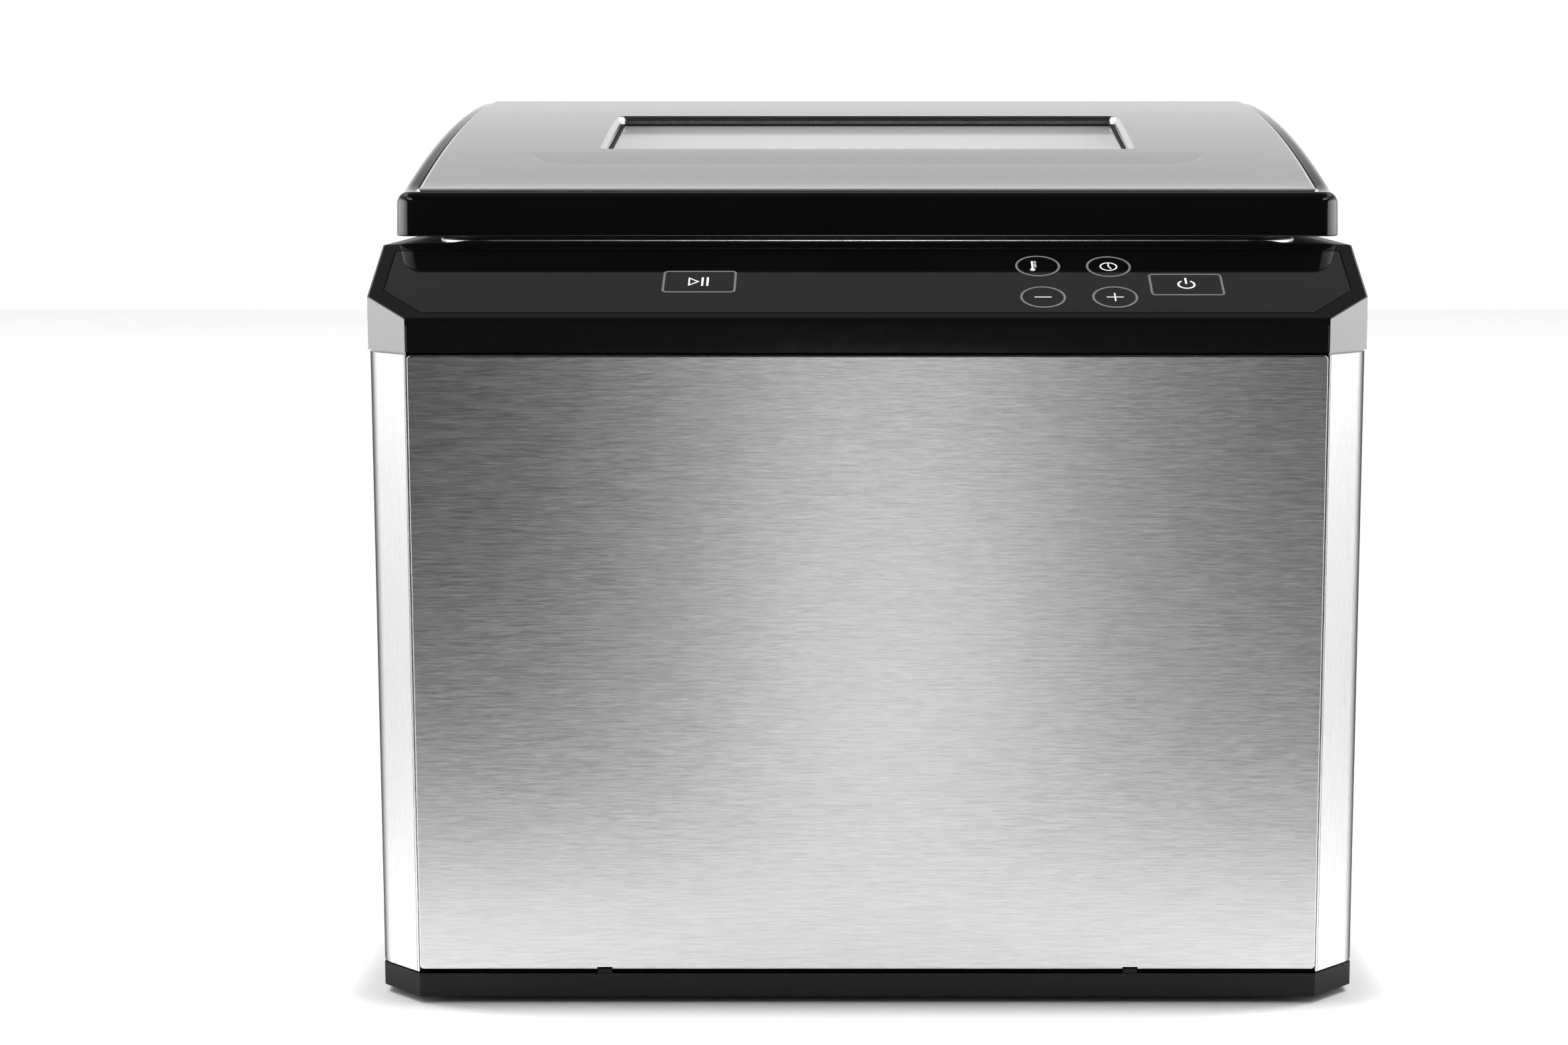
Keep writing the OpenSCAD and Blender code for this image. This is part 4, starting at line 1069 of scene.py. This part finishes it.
def lid_plate():
    """Brushed sheet with a rolled edge, a pressed crease and the window's bright recess."""
    line = ledge_outline(lid_outline())
    cos_tilt = math.cos(WINDOW_TILT)
    edge = RIM + 0.35 * MM
    rise, roll, under, step = 1.1 * MM, 2.0 * MM, -0.2 * MM, -0.5 * MM
    crease_y, fade_run = FRONT + 102 * MM, 26 * MM
    crease = matching(line, 256 * MM, 138 * MM, 16 * MM, crease_y + 69 * MM)
    window = matching(line, WINDOW_W + 1.2 * MM, (WINDOW_L + 1.2 * MM) * cos_tilt, 2.2 * MM, WINDOW_Y)
    mouth = matching(line, WINDOW_W + 6.6 * MM, (WINDOW_L + 4.4 * MM) * cos_tilt, 4.5 * MM,
                     WINDOW_Y - 0.6 * MM)

    def raised(loop, level=0.0):
        """Follows the lid's arc, plus a low step that fades out behind the crease's front corners."""
        out = []
        for p in loop:
            fade = min(max(1 - (p.y - crease_y) / fade_run, 0.0), 1.0)
            out.append(Vector((p.x, p.y, lid_top(p.y) + rise + level * fade * fade * (3 - 2 * fade))))
        return out

    loops = [on_lid(line.loop(edge + inset * MM), -drop * MM)
             for inset, drop in ((1.6, 0.2), (0.8, 0.98), (0.05, 0.98))]
    loops += [on_lid(line.loop(edge + run), rise - drop) for run, drop in quarter(roll, 6)]
    outer, crease_loop = line.loop(edge + roll), crease.loop()
    loops += [raised(mixed(outer, crease_loop, t)) for t in (0.12, 0.3, 0.5, 0.7, 0.86)]
    for inset, share in ((-0.9, 0.0), (-0.5, 0.06), (-0.1, 0.3), (0.3, 0.7), (0.7, 0.94), (1.1, 1.0)):
        loops.append(raised(crease.loop(inset * MM), step * share))
    inner_crease, mouth_top, foot = crease.loop(1.1 * MM), mouth.loop(), window.loop()
    loops += [raised(mixed(inner_crease, mouth_top, t), step * (1 - t)) for t in (0.2, 0.45, 0.7, 0.88)]
    loops.append(raised(mouth_top))
    for share, drop in ((0.08, 0.02), (0.2, 0.12), (0.34, 0.36), (0.62, 1.02), (0.92, 1.75), (1.0, 2.0)):
        loops.append(on_lid(mixed(mouth_top, foot, share), rise - drop * MM))
    sill = -GLASS_DROP + 0.05 * MM
    loops += [on_window(foot, sill), on_window(window.loop(-1.6 * MM), sill),
              on_lid(mouth.loop(-1.0 * MM), under)]
    loops += [on_lid(mixed(crease_loop, outer, t), under) for t in (0.12, 0.45, 0.7)]
    piece = loft("lid_top_sheet", loops, closed=True, sharp=55)
    even_normals(piece)
    dress(piece, "lid", "lid_steel", "lid_plate")


def window_seal():
    """Black bead that holds the glass in its recess."""
    cos_tilt = math.cos(WINDOW_TILT)
    line = box_outline(WINDOW_W + 1.1 * MM, (WINDOW_L + 1.1 * MM) * cos_tilt, 2.2 * MM, 0, WINDOW_Y)
    rings = [(0.0, 0.03), (0.0, 0.5), (0.15, 0.75), (0.5, 0.85), (0.9, 0.7), (1.15, 0.35), (1.2, 0.03)]
    loops = [on_window(line.loop(i * MM), -GLASS_DROP + h * MM) for i, h in rings]
    piece = loft("window_bead", loops, closed=True, sharp=60)
    dress(piece, "lid", "rubber", "window_seal")


def lid():
    lid_frame()
    lid_plate()
    window_seal()
    soften("window_glass", 0.5)
    soften("lid_liner", 0.5)
    soften("lid_seal", 0.8)
    soften("lid_screws", 0.3)


# ---- stage, light, camera

def stage():
    half_w, near, far = 5, -0.4, 3.6
    corners = [(-half_w, near, 0), (half_w, near, 0), (half_w, far, 0), (-half_w, far, 0)]
    floor = new_object("floor", corners, [(0, 1, 2, 3)], smooth=False)
    tree, bsdf = shader("floor_white")
    tinted(tree, bsdf, place_noise(tree, [0.4] * 3, detail=2.0), tone(0.9), tone(0.92))
    put(bsdf, Roughness=0.8)
    floor.data.materials.append(FINISH["floor_white"])
    return floor


def shifted(tree, value):
    """Brings -1..1 to 0..1."""
    return spread(tree, value, 0.0, 1.0, -1.0, 1.0)


def arithmetic(tree, kind, *values):
    """Math node on sockets and constants."""
    node = tree.nodes.new("ShaderNodeMath")
    node.operation = kind
    for place, value in zip(node.inputs, values):
        if isinstance(value, float):
            place.default_value = value
        else:
            tree.links.new(value, place)
    return node.outputs["Value"]


def product(tree, a, b, gain=1.0, plus=0.0):
    """a * b * gain + plus."""
    return arithmetic(tree, "MULTIPLY_ADD", arithmetic(tree, "MULTIPLY", a, b), gain, plus)


def total(tree, a, b):
    return arithmetic(tree, "ADD", a, b)


def sky():
    """White behind, soft boxes at both sides, and in front a dim room over a lit strip of floor."""
    world = bpy.data.worlds.new("studio")
    bpy.context.scene.world = world
    world.use_nodes = True
    tree = world.node_tree
    coords = tree.nodes.new("ShaderNodeTexCoord")
    parts = tree.nodes.new("ShaderNodeSeparateXYZ")
    tree.links.new(coords.outputs["Generated"], parts.inputs["Vector"])
    across, back, up = (shifted(tree, parts.outputs[c]) for c in "XYZ")
    behind = ramp(tree, up, [(0.0, 1.0), (0.56, 1.0), (0.61, 0.92), (0.68, 0.68), (0.78, 0.44),
                             (0.92, 0.2), (1.0, 0.14)])
    strip = ramp(tree, across, [(0.44, 0.0), (0.47, 0.35), (0.492, 1.0), (0.512, 1.0), (0.545, 0.3),
                                (0.58, 0.05)])
    lit_floor = ramp(tree, up, [(0.3, 1.0), (0.445, 1.0), (0.462, 0.0)])
    near_floor = ramp(tree, up, [(0.1, 1.0), (0.3, 0.6), (0.42, 0.06), (0.46, 0.0)])
    wide = ramp(tree, across, [(0.3, 0.15), (0.42, 0.5), (0.5, 1.0), (0.58, 0.6), (0.7, 0.15)])
    front = total(tree, product(tree, strip, lit_floor, 1.05, 0.015), product(tree, near_floor, wide))
    mix = tree.nodes.new("ShaderNodeMix")
    tree.links.new(ramp(tree, back, [(0.3, 1.0), (0.46, 0.0)]), mix.inputs["Factor"])
    tree.links.new(behind, mix.inputs["A"])
    tree.links.new(front, mix.inputs["B"])
    beside = ramp(tree, across, [(0.0, 1.0), (0.05, 1.0), (0.12, 0.0), (0.88, 0.0), (0.95, 1.0),
                                 (1.0, 1.0)])
    box_height = ramp(tree, up, [(0.46, 0.0), (0.5, 1.0), (0.66, 1.0), (0.74, 0.0)])
    boxes = product(tree, beside, box_height, 1.5)
    corner = ramp(tree, across, [(0.12, 0.0), (0.17, 1.0), (0.26, 1.0), (0.32, 0.0), (0.68, 0.0),
                                 (0.74, 1.0), (0.83, 1.0), (0.88, 0.0)])
    corner_height = ramp(tree, up, [(0.78, 0.0), (0.81, 1.0), (0.88, 1.0), (0.92, 0.0)])
    lamps = product(tree, corner, corner_height, 2.2)
    light = total(tree, mix.outputs["Result"], total(tree, boxes, lamps))
    background = tree.nodes["Background"]
    tree.links.new(light, background.inputs["Color"])
    put(background, Strength=1.15)


def flood(name, place, target, cone, power, soft, lit, glossy=False):
    """Broad lamp that lights one collection, such as the floor, and nothing else."""
    data = bpy.data.lights.new(name, "SPOT")
    data.energy = power
    data.spot_size = math.radians(cone)
    data.spot_blend = 1.0
    data.shadow_soft_size = soft
    lamp = placed(name, data)
    lamp.location = place
    lamp.rotation_euler = (Vector(target) - Vector(place)).to_track_quat("-Z", "Y").to_euler()
    lamp.visible_glossy = glossy
    lamp.light_linking.receiver_collection = lit


def only(name, *pieces):
    """Collection of the named pieces, for a lamp that lights nothing else."""
    group = bpy.data.collections.new(name)
    for piece in pieces:
        group.objects.link(bpy.data.objects[piece])
    return group


def studio(floor):
    sky()
    ground = bpy.data.collections.new("ground")
    ground.objects.link(floor)
    for x in (-2.2, 0, 2.2):
        flood("flood_back", (x, 2.4, 3.4), (x, 2.4, 0), 110, 120, 1.2, ground)
    flood("flood_top", (0, 0.6, 3.2), (0, 0.45, 0), 40, 120, 0.9, ground)
    flood("flood_near", (0, -0.04, 2.6), (0, -0.12, 0), 20, 218, 0.13, ground)
    for x in (-2.0, 2.0):
        flood("flood_side", (x, 0.1, 2.6), (x * 0.9, 0.1, 0), 80, 80, 0.9, ground)
        flood("flood_edge", (x * 0.55, 0.3, 1.6), (x * 0.16, 0.0, 0), 21, 75, 0.2, ground)
    prints = only("prints", "key_outlines", "key_symbols")
    flood("print_light", (0, -1.1, 1.7), (0, FRONT, DECK_Z), 30, 270, 0.2, prints)
    flange = only("flange", "tank_shell")
    flood("flange_light", (0, -1.6, 0.42), (0, FRONT, DECK_Z), 30, 22, 0.15, flange, glossy=True)


def camera():
    """Standing in front and a little above, with the object right of the frame's middle."""
    data = bpy.data.cameras.new("camera")
    data.sensor_width = 36
    data.lens = 65.7
    data.shift_x = -0.0532
    data.clip_start, data.clip_end = 0.05, 50
    cam = placed("camera", data)
    distance, height = 0.9865, 0.3099
    cam.location = (0, FRONT - distance, height + high("rubber_feet").z - 1 * MM)
    pitch = math.radians(8.03)
    cam.rotation_euler = (math.radians(90) - pitch, 0, 0)
    bpy.context.scene.camera = cam


housing()
tank()
rack()
lid()
studio(stage())
camera()
bpy.context.scene.view_settings.view_transform = "Standard"
